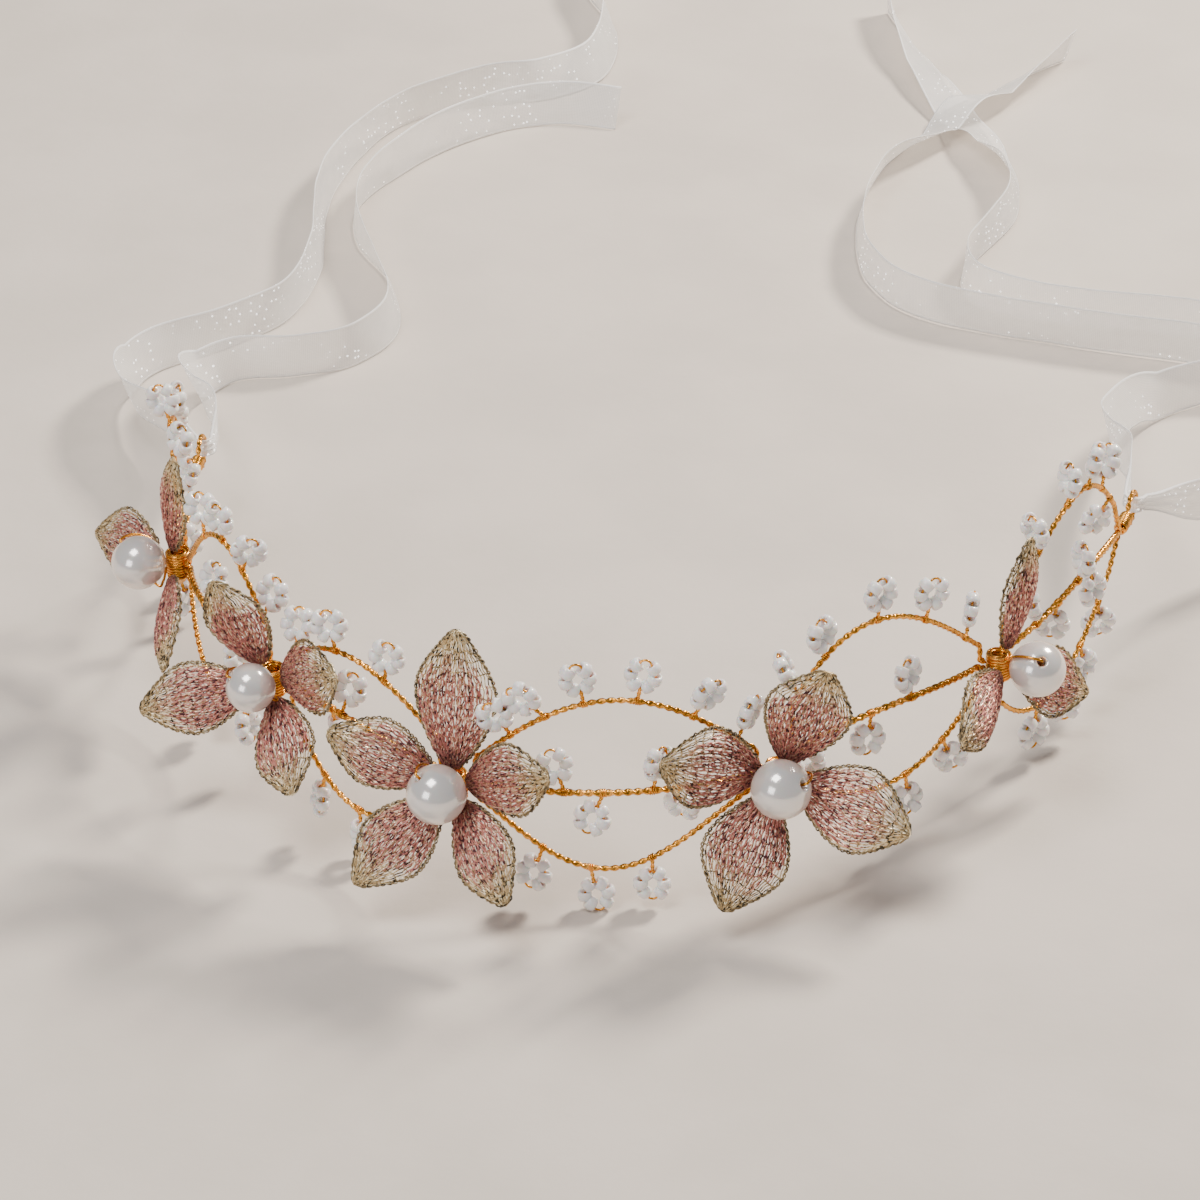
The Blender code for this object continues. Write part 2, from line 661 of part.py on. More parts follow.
def add_ribbon(side):
    """The strip as a sheet of triangles from station to station, with the wall put on it."""
    stations = ribbon_stations(side)
    shape = bmesh.new()
    rows = [
        [shape.verts.new((middle + up * (0.5 * width * tall)) * MM) for tall in (-1, 1)]
        for middle, up, width in stations
    ]
    for before, after in zip(rows, rows[1:]):
        shape.faces.new((before[0], after[0], after[1], before[1]))
    bmesh.ops.recalc_face_normals(shape, faces=shape.faces[:])
    bmesh.ops.triangulate(shape, faces=shape.faces[:])
    mesh = bpy.data.meshes.new(side + "_ribbon")
    shape.to_mesh(mesh)
    shape.free()
    smooth(mesh, 60.0)
    thing = add_object(side + "_ribbon", mesh, "organza")
    wall = thing.modifiers.new("wall", "SOLIDIFY")
    wall.thickness = RIBBON_THICKNESS * MM
    wall.offset = 0.0
    place_at(thing, fold_centre(side))


def main():
    clear_scene()
    for number, flower in enumerate(FLOWERS, start=1):
        add_flower(number, flower)
    for number in range(len(SPANS)):
        for strand in ("upper", "middle", "lower"):
            add_vine(number, strand)
    for side in ("left", "right"):
        add_end_loop(side)
        add_ribbon(side)


main()
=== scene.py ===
"""Flower crown: the looks of a bridal hair vine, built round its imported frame.

Thread petals, drilled pearls, twisted gilt wire, seed beads and organza ribbons, each made
by its own operator and placed where the frame has it. Lengths in the tables are millimetres.
"""

import math
import random

import bpy
from mathutils import Matrix, Vector


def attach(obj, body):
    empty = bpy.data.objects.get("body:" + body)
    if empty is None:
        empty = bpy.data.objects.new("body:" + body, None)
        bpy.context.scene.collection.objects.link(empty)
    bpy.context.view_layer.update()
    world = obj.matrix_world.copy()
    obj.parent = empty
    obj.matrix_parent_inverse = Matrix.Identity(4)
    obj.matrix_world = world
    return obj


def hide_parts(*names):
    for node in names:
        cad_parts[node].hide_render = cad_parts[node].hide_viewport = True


bl_info = {
    "name": "Flower crown",
    "version": (1, 0, 0),
    "blender": (4, 5, 0),
    "location": "View3D > Sidebar > Crown",
    "description": "Builds the petals, pearls, wires, beads and ribbons of a flower crown",
    "category": "Add Mesh",
}

MM = 0.001
UP = Vector((0.0, 0.0, 1.0))
WHITE = (1.0, 1.0, 1.0, 1.0)
BLACK = (0.0, 0.0, 0.0, 1.0)

# The band's half-ellipse in plan, and how far inside it the wires lie.
HALF_WIDTH = 90.0
HALF_DEPTH = 114.0
HUB_INSET = 1.5
VINE_INSET = 3.6
ARCH_INSET = 2.0
CLEARANCE = 0.35

BINDING_RADIUS = 2.3
BINDING_HEIGHT = 5.6

PETAL_START = 3.2
PETAL_LIFT = 2.2
PETAL_BASE_WIDTH = 2.4
PETAL_TIP_WIDTH = 2.2
PETAL_WIDEST = 1.15
PETAL_FULLNESS = 0.75
PETAL_CROWN = 0.26
PETAL_BOW = 1.2
PETAL_POINTED = 0.42
PETAL_POINTED_FROM = 0.55
PETAL_POINT_CURVE = 1.5

# Seeds of the petals' random draws, and of the flecks of painted shade and painted highlight in their
# layers of thread.
PETAL_SEEDS = 200
LAYER_SEEDS = 50

# How threads lie on a petal: the step between their stations, how far they sway aside and
# stand off it, and how fast the sway comes round, in radians to the millimetre.
THREAD_STEP = 0.55
ANY_PHASE = 6.28
RATE_SPREAD = (0.8, 1.25)
SWAY_SPREAD = (0.5, 1.0)
NET_SWAY = 0.13
NET_DEPTH = 0.16
NET_RATE = 2.9
NET_LIFT = 0.10
NET_LIFT_RATE = 2.3
NET_PINCH = 0.3
NET_EDGE = 0.97
NET_EDGE_SWAY = 0.05
NET_EDGE_RATE = 7.0
ROSE_SWAY = 0.16
ROSE_DEPTH = 0.14
ROSE_RATE = 3.1
ROSE_LIFT = 0.08
ROSE_LIFT_RATE = 2.7
ROSE_SPREAD = 0.90
ROSE_ABOVE = 0.22
ROSE_BELOW = -0.2
ROSE_END = 0.94
ROSE_RAGGED = 0.26
ROSE_SHOULDER = 2.2
ROSE_LENGTH = 0.85
ROSE_TAPERS_FROM = 0.85
ROSE_TAPER_LENGTH = 0.15
ROSE_TAPER = 0.45
TIE_DEPTH = 0.2
TIE_SLIP = 0.3
TIE_WAVE = 0.22
TIE_WAVES = 9.0
TIE_FIRST = 0.9
TIE_ROOM = 0.5
TIE_LAST = 0.985
RIM_THREAD = 1.05
RIM_LENGTH = 2.2
RIM_STEP = 0.33
RIM_FROM = 0.05
RIM_REACH = 0.96
RIM_OUT = 0.06
RIM_LOOP = 0.27
RIM_DEPTH = 0.22
RIM_TURN = 1.05
RIM_LOOP_SHIFT = 2.6
RIM_DEPTH_SHIFT = 1.3
RIM_CLOSES_FROM = 0.985
RIM_CLOSES_OVER = 0.05

PEARL_SEAT = BINDING_RADIUS + 0.5
HOLE_LEAN = 35.0
PEARL_SEGMENTS = 64
HOLE_RINGS = 6
COUNTERSINK_WIDTH = 0.32
COUNTERSINK_DEPTH = 0.22

# The wire's way over a pearl, in degrees from the side its hole is on towards the front, and
# then behind the flower: how far from the hub on the far side, and how far ahead of it.
PEARL_WIRE_ANGLES = (-52.0, -38.0, -24.0, -10.0, 4.0, 17.0, 28.0, HOLE_LEAN)
PEARL_WIRE_BEHIND = ((3.5, 3.4), (2.2, 2.85), (0.9, 2.45))
PEARL_WIRE_IN = (0.86, 0.5)
PEARL_WIRE_OUT = 0.3
PEARL_WIRE_STEP = 0.35
PEARL_WIRE_GAP = 0.08
PEARL_WIRE_BOW = 0.22

# A coil's pitch against its wire's thickness, the steps in a turn, and how far it tucks in.
COIL_PITCH = 1.02
COIL_STEPS = 14
COIL_FEWEST = 12
COIL_TUCK = 0.55
COIL_TUCK_RATE = 12.0

# Each wire's thickness against a plain one: a middle vine's, a sprig's and its wrap's.
HEAVY_WIRE = 1.22
FINE_WIRE = 0.72
WRAP_WIRE = 0.62

STRANDS = ("upper", "middle", "lower")
VINE_RADIUS = {"upper": 0.5, "middle": 0.6, "lower": 0.5}
VINE_STACK = {"upper": 1.6, "middle": 0.0, "lower": -1.6}
VINE_POINTS = 161
NEAR_BY = 0.01
TWIST_STEPS = 10.0
ANY_TWIST = 3.0
ANY_WRAP = 6.0
LEAD_SKIP = 9
LEAD_IN = 0.6
LEAD_GAP = 0.3
LEAD_LENGTH = 0.9

STEM_LENGTH = 1.7
STEM_PITCH = 1.7
STEM_STEP = 0.2
STEM_SINK = 0.1
STEM_WRAP = 1.1
BEAD_LOOP_LONG = 2.2
BEAD_LOOP_WIDE = 1.98
BEAD_LOOP_STEP = 0.4
BEAD_LOOP_GAP = 1.15
BEAD_HOLE = 0.19
BEAD_CORNERS = 0.72

# How far a bead may be turned round its loop (degrees), tipped and pushed out of it, and
# the least and greatest of its size.
BEAD_WANDER = 2.0
BEAD_TIP = 0.22
BEAD_PUSH = 0.18
BEAD_SIZES = (0.94, 1.05)

# Places round a bead loop, in degrees: the beads, with a gap at the top, and the wire that
# threads them, with how far it swells past the loop where it arches over that gap.
BEAD_PLACES = (46.0, 134.0, -5.0, 185.0, -56.0, 236.0)
LOOP_WIRE = (
    (-84.0, 0.0), (-56.0, 0.0), (-5.0, 0.0), (30.0, 0.0), (58.0, 0.10), (74.0, 0.55),
    (90.0, 0.72), (106.0, 0.55), (122.0, 0.10), (150.0, 0.0), (185.0, 0.0), (236.0, 0.0),
    (264.0, 0.0),
)

END_BARREL_LENGTH = 5.5
END_BARREL_RADIUS = 1.3
END_RING_RADIUS = 3.0
END_RING_SINK = 0.4
END_RING_STEPS = 60
END_RING_SHARE = 0.985
END_RING_START = 0.015
END_CORE_BEFORE = 0.4
END_CORE_PAST = 0.2
END_CORE_STEP = 0.5
END_CORE_PITCH = 3.0

RIBBON_STEP = 1.6
RIBBON_COLUMNS = 25
RIBBON_PINCH = 3.2
RIBBON_FOLD_RADIUS = 1.6
RIBBON_FOLD_ANGLES = (-90.0, -120.0, -150.0, 180.0, 150.0, 120.0, 90.0)
RIBBON_FLARE = 26.0
RIBBON_STANDING = 0.3
RIBBON_PLEATS = 3.0
RIBBON_PLEAT_DEPTH = 0.62
RIBBON_RIPPLE = 0.10
RIBBON_RIPPLE_RATE = 0.37
RIBBON_RIPPLE_DRIFT = 0.08
FLOOR_GAP = 0.1

# Flowers from left to right: place on the band (degrees from the front, height), how far
# the flower turns to its right and tilts up, pearl diameter, direction of the pearl's hole,
# and each petal's direction round the flower, rise towards the front, length and width.
FLOWERS = (
    {
        "place": (-57.0, 24.0), "turn": 13.0, "tilt": 14.0, "pearl": 9.6, "hole": 137.0,
        "petals": ((81.0, 12.0, 23.0, 12.0), (194.0, 14.0, 23.0, 13.0), (328.0, 16.0, 22.5, 12.0)),
    },
    {
        "place": (-29.8, 27.0), "turn": 22.0, "tilt": 18.0, "pearl": 8.4, "hole": 152.0,
        "petals": (
            (24.0, 31.0, 23.5, 12.5), (116.0, 26.0, 20.5, 11.5),
            (205.0, 18.0, 23.0, 12.0), (308.0, 24.0, 20.5, 12.5),
        ),
    },
    {
        "place": (-5.0, 21.6), "turn": 0.0, "tilt": 20.0, "pearl": 10.0, "hole": 129.0,
        "petals": (
            (21.0, 24.0, 22.5, 12.0), (91.0, 9.0, 27.5, 14.0), (162.0, 18.0, 22.0, 12.0),
            (236.0, 20.0, 22.5, 12.0), (314.0, 22.0, 22.5, 11.0),
        ),
    },
    {
        "place": (29.7, 23.0), "turn": -20.0, "tilt": 17.0, "pearl": 10.0, "hole": 26.0,
        "petals": (
            (70.0, 22.0, 23.0, 14.0), (163.0, 31.5, 23.5, 14.0),
            (245.0, 20.0, 23.5, 14.5), (341.0, 22.0, 23.5, 14.5),
        ),
    },
    {
        "place": (56.6, 27.2), "turn": 9.0, "tilt": 14.0, "pearl": 9.6, "hole": 130.0,
        "petals": ((78.0, 16.5, 23.5, 11.0), (187.0, 8.0, 23.0, 12.5), (322.0, 10.0, 22.5, 12.0)),
    },
)
FLOWER_BODIES = ("left_tip", "left_wing", "centre", "right_wing", "right_tip")

LEFT_END = (-79.5, 17.5)
RIGHT_END = (82.5, 28.5)
STOPS = (LEFT_END, *(flower["place"] for flower in FLOWERS), RIGHT_END)
SPAN_BODIES = ("left_tip", "left_wing", "centre", "centre", "right_wing", "right_tip")

# Vines of each span, from the left end to the right: height of the arch above the straight
# line between its ends, skew of its crest, fullness, and its sprigs: place along the span,
# up (1) or down (-1), slant to the right, lean to the outside and twist of the bead loop.
SPANS = (
    {
        "upper": (19.0, 1.1, 1.0, (
            (0.22, 1, -10, 10, 60), (0.40, 1, 12, -12, 20), (0.56, 1, -8, 14, 75), (0.74, 1, 10, -16, 35),
        )),
        "middle": (2.0, 1.0, 1.0, ((0.38, 1, -10, -20, 30), (0.60, -1, 10, -20, 60))),
        "lower": (-10.0, 1.0, 1.0, ((0.36, -1, 0, 8, 20), (0.62, -1, -8, -10, 60))),
    },
    {
        "upper": (18.5, 1.5, 1.0, (
            (0.46, 1, -12, 0, 40), (0.64, 1, 8, 8, 20), (0.78, 1, 22, -6, 60), (0.90, 1, 8, -20, 20),
        )),
        "middle": (2.0, 1.0, 1.0, ((0.42, 1, -8, -22, 20), (0.64, -1, 6, -14, 60))),
        "lower": (-12.0, 1.0, 1.0, ((0.45, -1, -6, 4, 20), (0.72, -1, 10, -8, 60))),
    },
    {
        "upper": (14.0, 1.0, 0.85, ((0.12, 1, -14, -22, 20), (0.40, 1, -8, 6, 30), (0.66, 1, 8, 0, 15))),
        "middle": (3.0, 1.0, 1.0, ((0.42, 1, 10, -16, 15), (0.36, -1, 4, -10, 40))),
        "lower": (-13.0, 1.0, 1.0, ((0.30, -1, -10, 6, 30), (0.50, -1, 12, 6, 20))),
    },
    {
        "upper": (17.0, 1.0, 1.0, (
            (0.18, 1, -26, 16, 20), (0.29, 1, -48, 6, 0), (0.41, 1, -11, 4, 10),
            (0.57, 1, 11, 0, -10), (0.74, 1, 30, 4, 20), (0.88, 1, 30, -14, 50),
        )),
        "middle": (0.5, 1.0, 1.0, (
            (0.35, 1, -20, -8, 10), (0.47, -1, -22, 6, 10), (0.62, 1, 12, -8, 40), (0.69, -1, 14, -18, 30),
        )),
        "lower": (-13.1, 0.95, 1.6, ((0.28, -1, -16, 8, 10), (0.43, -1, 12, 10, 0), (0.62, -1, 0, 6, 10))),
    },
    {
        "upper": (21.5, 0.7, 1.0, (
            (0.09, 1, -20, -20, 60), (0.19, 1, -12, 4, 20), (0.40, 1, 2, 2, 0), (0.62, 1, 10, 4, -15),
            (0.84, 1, 25, -10, 40),
        )),
        "middle": (5.0, 0.7, 1.0, ((0.16, -1, -8, -14, 30), (0.39, -1, -6, 0, 10), (0.57, 1, -12, 0, 15))),
        "lower": (-9.5, 1.0, 1.0, ((0.56, -1, 2, 4, 10), (0.74, -1, 26, 0, 30))),
    },
    {
        "upper": (20.0, 0.95, 1.0, (
            (0.24, 1, -12, -4, 70), (0.42, 1, 2, 0, 55), (0.58, 1, 14, 6, 20), (0.72, 1, 30, -4, 60),
            (0.82, -1, -10, -24, 40),
        )),
        "middle": (2.5, 1.2, 1.0, (
            (0.26, 1, -12, -6, 40), (0.40, -1, 4, -12, 60), (0.55, 1, -4, 10, 50), (0.66, -1, 8, 6, 20),
        )),
        "lower": (-15.0, 0.65, 1.0, (
            (0.30, -1, -10, 2, 20), (0.45, -1, 10, 8, 50), (0.62, -1, 14, 4, 20), (0.78, -1, 12, 0, 55),
        )),
    },
)

# Ribbon tails: points along the middle of each, (x, y, height of the middle, lean from
# upright), from just behind the end loop to the cut end. A point with no height of its own
# stands on the ground on the ribbon's edge.
TAILS = {
    "left": (
        (
            (-101, 6, 13, 10), (-114, 18, 9.5, 20), (-121, 33, 6.6, 15), (-119, 45, 0, 8),
            (-109, 57, 0, 0), (-100, 73, 0, 0), (-101, 95, 0, 10), (-108, 120, 0, 10),
            (-110, 141, 0, 5), (-105, 168, 0, -10), (-91, 186, 0, -5), (-78, 193, 0, 15),
            (-69, 208, 0, 25), (-72, 232, 0, 20), (-84, 256, 0, 0), (-82, 280, 0, -8),
            (-66, 292, 0, 0),
        ),
        (
            (-93, 10, 13, 0), (-101, 22, 9.5, 15), (-107, 34, 7, 25), (-102, 45, 0, 5),
            (-90, 50, 0, -4), (-80, 58, 0, 0), (-77, 74, 0, 12), (-86, 94, 0, 20),
            (-96, 109, 0, 0), (-101, 126, 0, -8), (-98, 144, 0, 0), (-92, 160, 0, 5),
            (-82, 174, 0, 8), (-70, 182, 0, 20), (-57, 183, 0, 30),
        ),
    ),
    "right": (
        (
            (99, 15, 20, -10), (112, 31, 11, -18), (119, 56, 6.8, -10), (117, 86, 0, 0),
            (106, 106, 0, 0), (86, 113, 0, 8), (58, 112, 0, 8), (40, 116, 0, 0),
            (34, 128, 0, -6), (37, 144, 0, 0), (39, 158, 0, 10), (36, 173, 0, 25),
            (28, 189, 3.8, 60), (19, 204, 1.4, 85), (8, 224, 3, 68), (-3, 245, 0, 30),
            (-10, 262, 0, 5),
        ),
        (
            (84, 22, 22, 0), (79, 37, 17, 10), (76, 54, 11.5, 20), (80, 74, 7, 18),
            (90, 86, 0, 5), (100, 90, 0, 0), (101, 98, 0, 0), (90, 102, 0, 5),
            (60, 103, 0, 8), (30, 107, 0, 5), (15, 120, 0, 0), (8, 144, 0, -10),
            (8, 170, 0, -25), (14, 189, 0, -58), (20, 205, 6.4, -76), (28, 224, 0, -55),
            (38, 244, 0, -20),
        ),
    ),
}

# Where the eye stands: what it looks at, how far off, round from the front and up.
SIGHT_TARGET = (2.2, -55.9, 25.0)
SIGHT_DISTANCE = 700.0
SIGHT_ROUND = 14.9
SIGHT_UP = 32.0
SIGHT_LENS = 119.9
SIGHT_SENSOR = 36.0
SIGHT_NEAR = 0.01

# The room, in metres: each light's name, place, size, power in watts and tint.
FLOOR_SIZE = 6.0
SKY_COLOUR = (0.93, 0.95, 1.0, 1.0)
SKY_STRENGTH = 0.30
LIGHTS_AIM = (0.0, -0.03, 0.02)
LIGHTS = (
    ("window", (0.42, 0.62, 0.75), 0.2, 19.0, (1.0, 0.91, 0.80)),
    ("ceiling", (-0.25, -0.35, 1.0), 0.45, 7.0, (1.0, 0.97, 0.94)),
    ("fill", (-0.5, -1.1, 0.5), 0.5, 4.0, (1.0, 0.98, 0.97)),
)

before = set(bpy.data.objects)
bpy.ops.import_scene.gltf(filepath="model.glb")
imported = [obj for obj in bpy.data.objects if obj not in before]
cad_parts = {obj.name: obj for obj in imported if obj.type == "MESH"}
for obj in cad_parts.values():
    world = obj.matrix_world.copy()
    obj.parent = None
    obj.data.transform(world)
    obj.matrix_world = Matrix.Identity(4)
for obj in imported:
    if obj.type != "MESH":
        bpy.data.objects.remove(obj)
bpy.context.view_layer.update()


# ---- settings -------------------------------------------------------------------------


def colour_setting(name, description, default):
    return bpy.props.FloatVectorProperty(
        name=name, description=description, default=default, size=3,
        subtype="COLOR", min=0.0, max=1.0,
    )


def length_setting(name, description, default):
    return bpy.props.FloatProperty(
        name=name, description=description, default=default * MM,
        subtype="DISTANCE", unit="LENGTH", min=0.0,
    )


class CrownSizes(bpy.types.PropertyGroup):
    """Sizes of the crown's fine work."""

    net_strands: bpy.props.IntProperty(
        name="Net strands", description="Champagne threads side by side in a petal", default=25,
    )
    rose_strands: bpy.props.IntProperty(
        name="Rose strands", description="Rose threads laid over the net of a petal", default=36,
    )
    net_thread: length_setting("Net thread", "Radius of the champagne thread", 0.135)
    rose_thread: length_setting("Rose thread", "Radius of the rose thread", 0.155)
    tie_thread: length_setting("Tie thread", "Radius of the threads across a petal", 0.14)
    tie_spacing: length_setting("Tie spacing", "Distance between the threads across", 2.1)
    wire: length_setting("Wire", "Radius of a single gilt wire", 0.27)
    twist_pitch: length_setting("Twist pitch", "Length of one full twist of a vine", 3.2)
    bead: length_setting("Bead", "Diameter of a seed bead", 2.55)
    bead_length: length_setting("Bead length", "Length of a seed bead along its hole", 1.85)
    pearl_hole: length_setting("Pearl hole", "Radius of the hole through a pearl", 0.80)
    ribbon: length_setting("Ribbon", "Width of the ribbon laid flat", 10.0)
    ribbon_gauze: length_setting("Ribbon gauze", "Thickness of the ribbon", 0.12)


class CrownColours(bpy.types.PropertyGroup):
    """Colours of the crown's finishes."""

    # Plum and blush are the painted shade and painted highlight flecks of the rose thread, olive and cream
    # those of the champagne thread; plum also gives the painted shade at the petals' root.
    plum: colour_setting("Plum", "Darkest flecks of the rose thread", (0.10, 0.024, 0.034))
    rose: colour_setting("Rose", "The rose thread", (0.58, 0.215, 0.180))
    blush: colour_setting("Blush", "Lightest flecks of the rose thread", (0.95, 0.66, 0.50))
    olive: colour_setting("Olive", "Darkest flecks of the champagne thread", (0.042, 0.030, 0.013))
    champagne: colour_setting("Champagne", "The champagne thread", (0.62, 0.44, 0.22))
    cream: colour_setting("Cream", "Lightest flecks of the champagne thread", (1.0, 0.88, 0.60))
    gilt: colour_setting("Gilt", "The gilt wire", (0.80, 0.36, 0.050))
    nacre: colour_setting("Nacre", "The pearls seen from in front", (0.82, 0.79, 0.765))
    # The colour of the painted warm sheen towards the pearls' edge.
    painted_nacre_sheen: colour_setting("Nacre edge", "The pearls towards their edge", (0.88, 0.74, 0.63))
    bead: colour_setting("Bead", "The seed beads", (0.97, 0.945, 0.915))
    organza: colour_setting("Organza", "The ribbon", (0.99, 0.975, 0.955))
    floor: colour_setting("Floor", "The floor", (0.69, 0.62, 0.555))


# ---- finishes -------------------------------------------------------------------------


class Signal:
    """One output socket, whose sums and products add Math nodes."""

    def __init__(self, finish, socket):
        self.finish = finish
        self.socket = socket

    def maths(self, operation, first, second=0.0):
        return self.finish.node("ShaderNodeMath", {"operation": operation}, {0: first, 1: second})

    def __add__(self, other):
        return self.maths("ADD", self, other)

    def __sub__(self, other):
        return self.maths("SUBTRACT", self, other)

    def __rsub__(self, other):
        return self.maths("SUBTRACT", other, self)

    def __mul__(self, other):
        return self.maths("MULTIPLY", self, other)

    def __gt__(self, other):
        return self.maths("GREATER_THAN", self, other)

    __radd__ = __add__
    __rmul__ = __mul__


class Finish:
    """A material and the nodes that are put into it."""

    def __init__(self, name, **fixed):
        self.material = bpy.data.materials.new(name)
        self.material.use_nodes = True
        self.nodes = self.material.node_tree.nodes
        self.links = self.material.node_tree.links
        self.shader = self.nodes["Principled BSDF"]
        for key, value in fixed.items():
            socket = key.replace("_", " ").title().replace("Ior", "IOR")
            self.shader.inputs[socket].default_value = value

    def node(self, kind, settings=(), sockets=(), out=0):
        made = self.nodes.new(kind)
        for key, value in dict(settings).items():
            if key == "stops":
                self.set_stops(made.color_ramp, value)
            else:
                setattr(made, key, value)
        for key, value in dict(sockets).items():
            if isinstance(value, Signal):
                self.links.new(value.socket, made.inputs[key])
            else:
                made.inputs[key].default_value = value
        return Signal(self, made.outputs[out])

    @staticmethod
    def set_stops(ramp, stops):
        ramp.elements[0].position, ramp.elements[0].color = stops[0]
        ramp.elements[1].position, ramp.elements[1].color = stops[-1]
        for place, colour in stops[1:-1]:
            ramp.elements.new(place).color = colour

    def mix(self, factor, first, second):
        sockets = {"Factor": factor, 6: first, 7: second}
        return self.node("ShaderNodeMix", {"data_type": "RGBA"}, sockets, 2)

    def attribute(self, name):
        return self.node("ShaderNodeAttribute", {"attribute_name": name}, out="Fac")

    def place(self):
        return self.node("ShaderNodeTexCoord", out="Object")

    def noise(self, place, scale, detail, roughness=0.5):
        return self.node("ShaderNodeTexNoise", {}, {
            "Vector": place, "Scale": scale, "Detail": detail, "Roughness": roughness,
        })

    def ease(self, value, low, high):
        return self.node(
            "ShaderNodeMapRange", {"interpolation_type": "SMOOTHSTEP"},
            {"Value": value, "From Min": low, "From Max": high},
        )

    def ramp(self, value, stops):
        return self.node("ShaderNodeValToRGB", {"stops": stops}, {"Fac": value})

    def feed(self, socket, signal):
        self.links.new(signal.socket, self.shader.inputs[socket])

    def bump(self, height, strength, distance):
        sockets = {"Height": height, "Strength": strength, "Distance": distance * MM}
        self.feed("Normal", self.node("ShaderNodeBump", {}, sockets))


def opaque(colour):
    return (*colour, 1.0)


def toned(colour, *factors):
    """The colour times one factor, or times one for each of its three parts."""
    if len(factors) == 1:
        factors = factors * 3
    return opaque([factor * part for factor, part in zip(factors, colour)])


def yarn(finish, crimp_shade_and_highlight, stops, dark, plain, light):
    """One thread's tone: dark flecks of painted shade, then plain, then light flecks of painted highlight.
    """
    tones = (dark, plain, plain, light)
    return finish.ramp(crimp_shade_and_highlight, [(stop, opaque(tone)) for stop, tone in zip(stops, tones)])


def thread_finish(colours):
    """Two-tone metallic yarn: champagne net under rose threads, with dark and light flecks of painted
    shade and painted highlight along the crimped yarn.
    """
    finish = Finish("two_tone_yarn")
    along = finish.attribute("along")
    across = finish.attribute("across")
    rose = finish.attribute("rose")
    place = finish.node("ShaderNodeCombineXYZ", {}, {
        "X": finish.attribute("strand") * 5.37, "Y": finish.attribute("run") * 1.25, "Z": along * 0.7,
    })
    # The flecks are painted light: the dark ones are painted shade in the yarn's crimps, the light ones
    # painted highlights on them.
    crimp_shade_and_highlight = finish.noise(place, 1.0, 1.0, 0.6)
    rose_yarn = yarn(
        finish, crimp_shade_and_highlight, (0.37, 0.45, 0.55, 0.63), colours.plum, colours.rose, colours.blush,
    )
    net_yarn = yarn(
        finish, crimp_shade_and_highlight, (0.38, 0.45, 0.54, 0.62), colours.olive, colours.champagne, colours.cream,
    )
    # The net takes on the rose towards the petal's root, and darkens at its rim.
    edge = finish.ease(across, 0.82, 0.97)
    blushing = (1.0 - finish.ease(along, 0.30, 0.72)) * (1.0 - edge) * 0.55
    rimmed = finish.mix(finish.ease(across, 0.93, 1.0) * 0.55, net_yarn, opaque(colours.olive))
    net = finish.mix(blushing, rimmed, rose_yarn)
    # The rose threads fade to champagne towards the tip, and all are dark at the root with painted shade
    # under the pearl.
    fading = finish.ease(along, 0.60, 0.92) * 0.8
    laid = finish.mix(fading, rose_yarn, net_yarn)
    painted_root_shade = (1.0 - finish.ease(along, 0.0, 0.24)) * 0.6
    tone = finish.mix(painted_root_shade, finish.mix(rose, net, laid), toned(colours.plum, 0.45))
    finish.feed("Base Color", tone)
    finish.feed("Metallic", 0.35 + finish.ease(crimp_shade_and_highlight, 0.45, 0.62) * 0.45)
    finish.feed("Roughness", 0.52 - finish.ease(crimp_shade_and_highlight, 0.5, 0.66) * 0.22)
    return finish.material


def gilt_finish(colours):
    """Orange-gold lacquered wire, a little uneven in tone and in shine."""
    finish = Finish("lacquered_gilt", metallic=1.0)
    place = finish.place()
    patches = finish.noise(place, 420.0, 3.0)
    drawn = finish.noise(place, 2600.0, 2.0)
    light = [min(1.0, 1.15 * part + 0.04) for part in colours.gilt]
    finish.feed("Base Color", finish.ramp(patches, [
        (0.32, toned(colours.gilt, 0.50)), (0.5, opaque(colours.gilt)), (0.68, opaque(light)),
    ]))
    finish.feed("Roughness", 0.17 + patches * 0.16)
    finish.bump(drawn, 0.25, 0.03)
    return finish.material


def nacre_finish(colours):
    """Imitation pearl: silvery white, with a painted warm sheen towards its edge, under a clear lacquer.
    """
    finish = Finish(
        "silvery_nacre", coat_weight=0.8, coat_roughness=0.04, subsurface_weight=0.10,
        subsurface_scale=1.5 * MM,
    )
    cloud = finish.noise(finish.place(), 190.0, 3.0)
    # The warmer tone towards the edge, set by the angle of view, is a painted sheen.
    edge = finish.node("ShaderNodeLayerWeight", {}, {"Blend": 0.42}, "Facing")
    tone = finish.mix(finish.ease(edge, 0.18, 0.9), opaque(colours.nacre), opaque(colours.painted_nacre_sheen))
    cool = toned(colours.nacre, 0.94, 0.95, 0.99)
    finish.feed("Base Color", finish.mix(finish.ease(cloud, 0.42, 0.62) * 0.5, tone, cool))
    finish.feed("Metallic", 0.42 - finish.ease(edge, 0.3, 0.9) * 0.2)
    finish.feed("Roughness", 0.13 + cloud * 0.12)
    finish.bump(cloud, 0.06, 0.05)
    return finish.material


def bead_finish(colours):
    """Opaque white glass, a shade different from bead to bead."""
    finish = Finish(
        "white_glass", coat_weight=0.5, coat_roughness=0.04, subsurface_weight=0.25,
        subsurface_scale=0.8 * MM,
    )
    place = finish.place()
    cloud = finish.noise(place, 320.0, 2.0)
    speck = finish.noise(place, 2100.0, 2.0)
    milky = toned(colours.bead, 0.90, 0.91, 0.94)
    finish.feed("Base Color", finish.mix(finish.ease(cloud, 0.38, 0.62), milky, opaque(colours.bead)))
    finish.feed("Roughness", 0.14 + speck * 0.16)
    finish.bump(speck, 0.12, 0.03)
    return finish.material


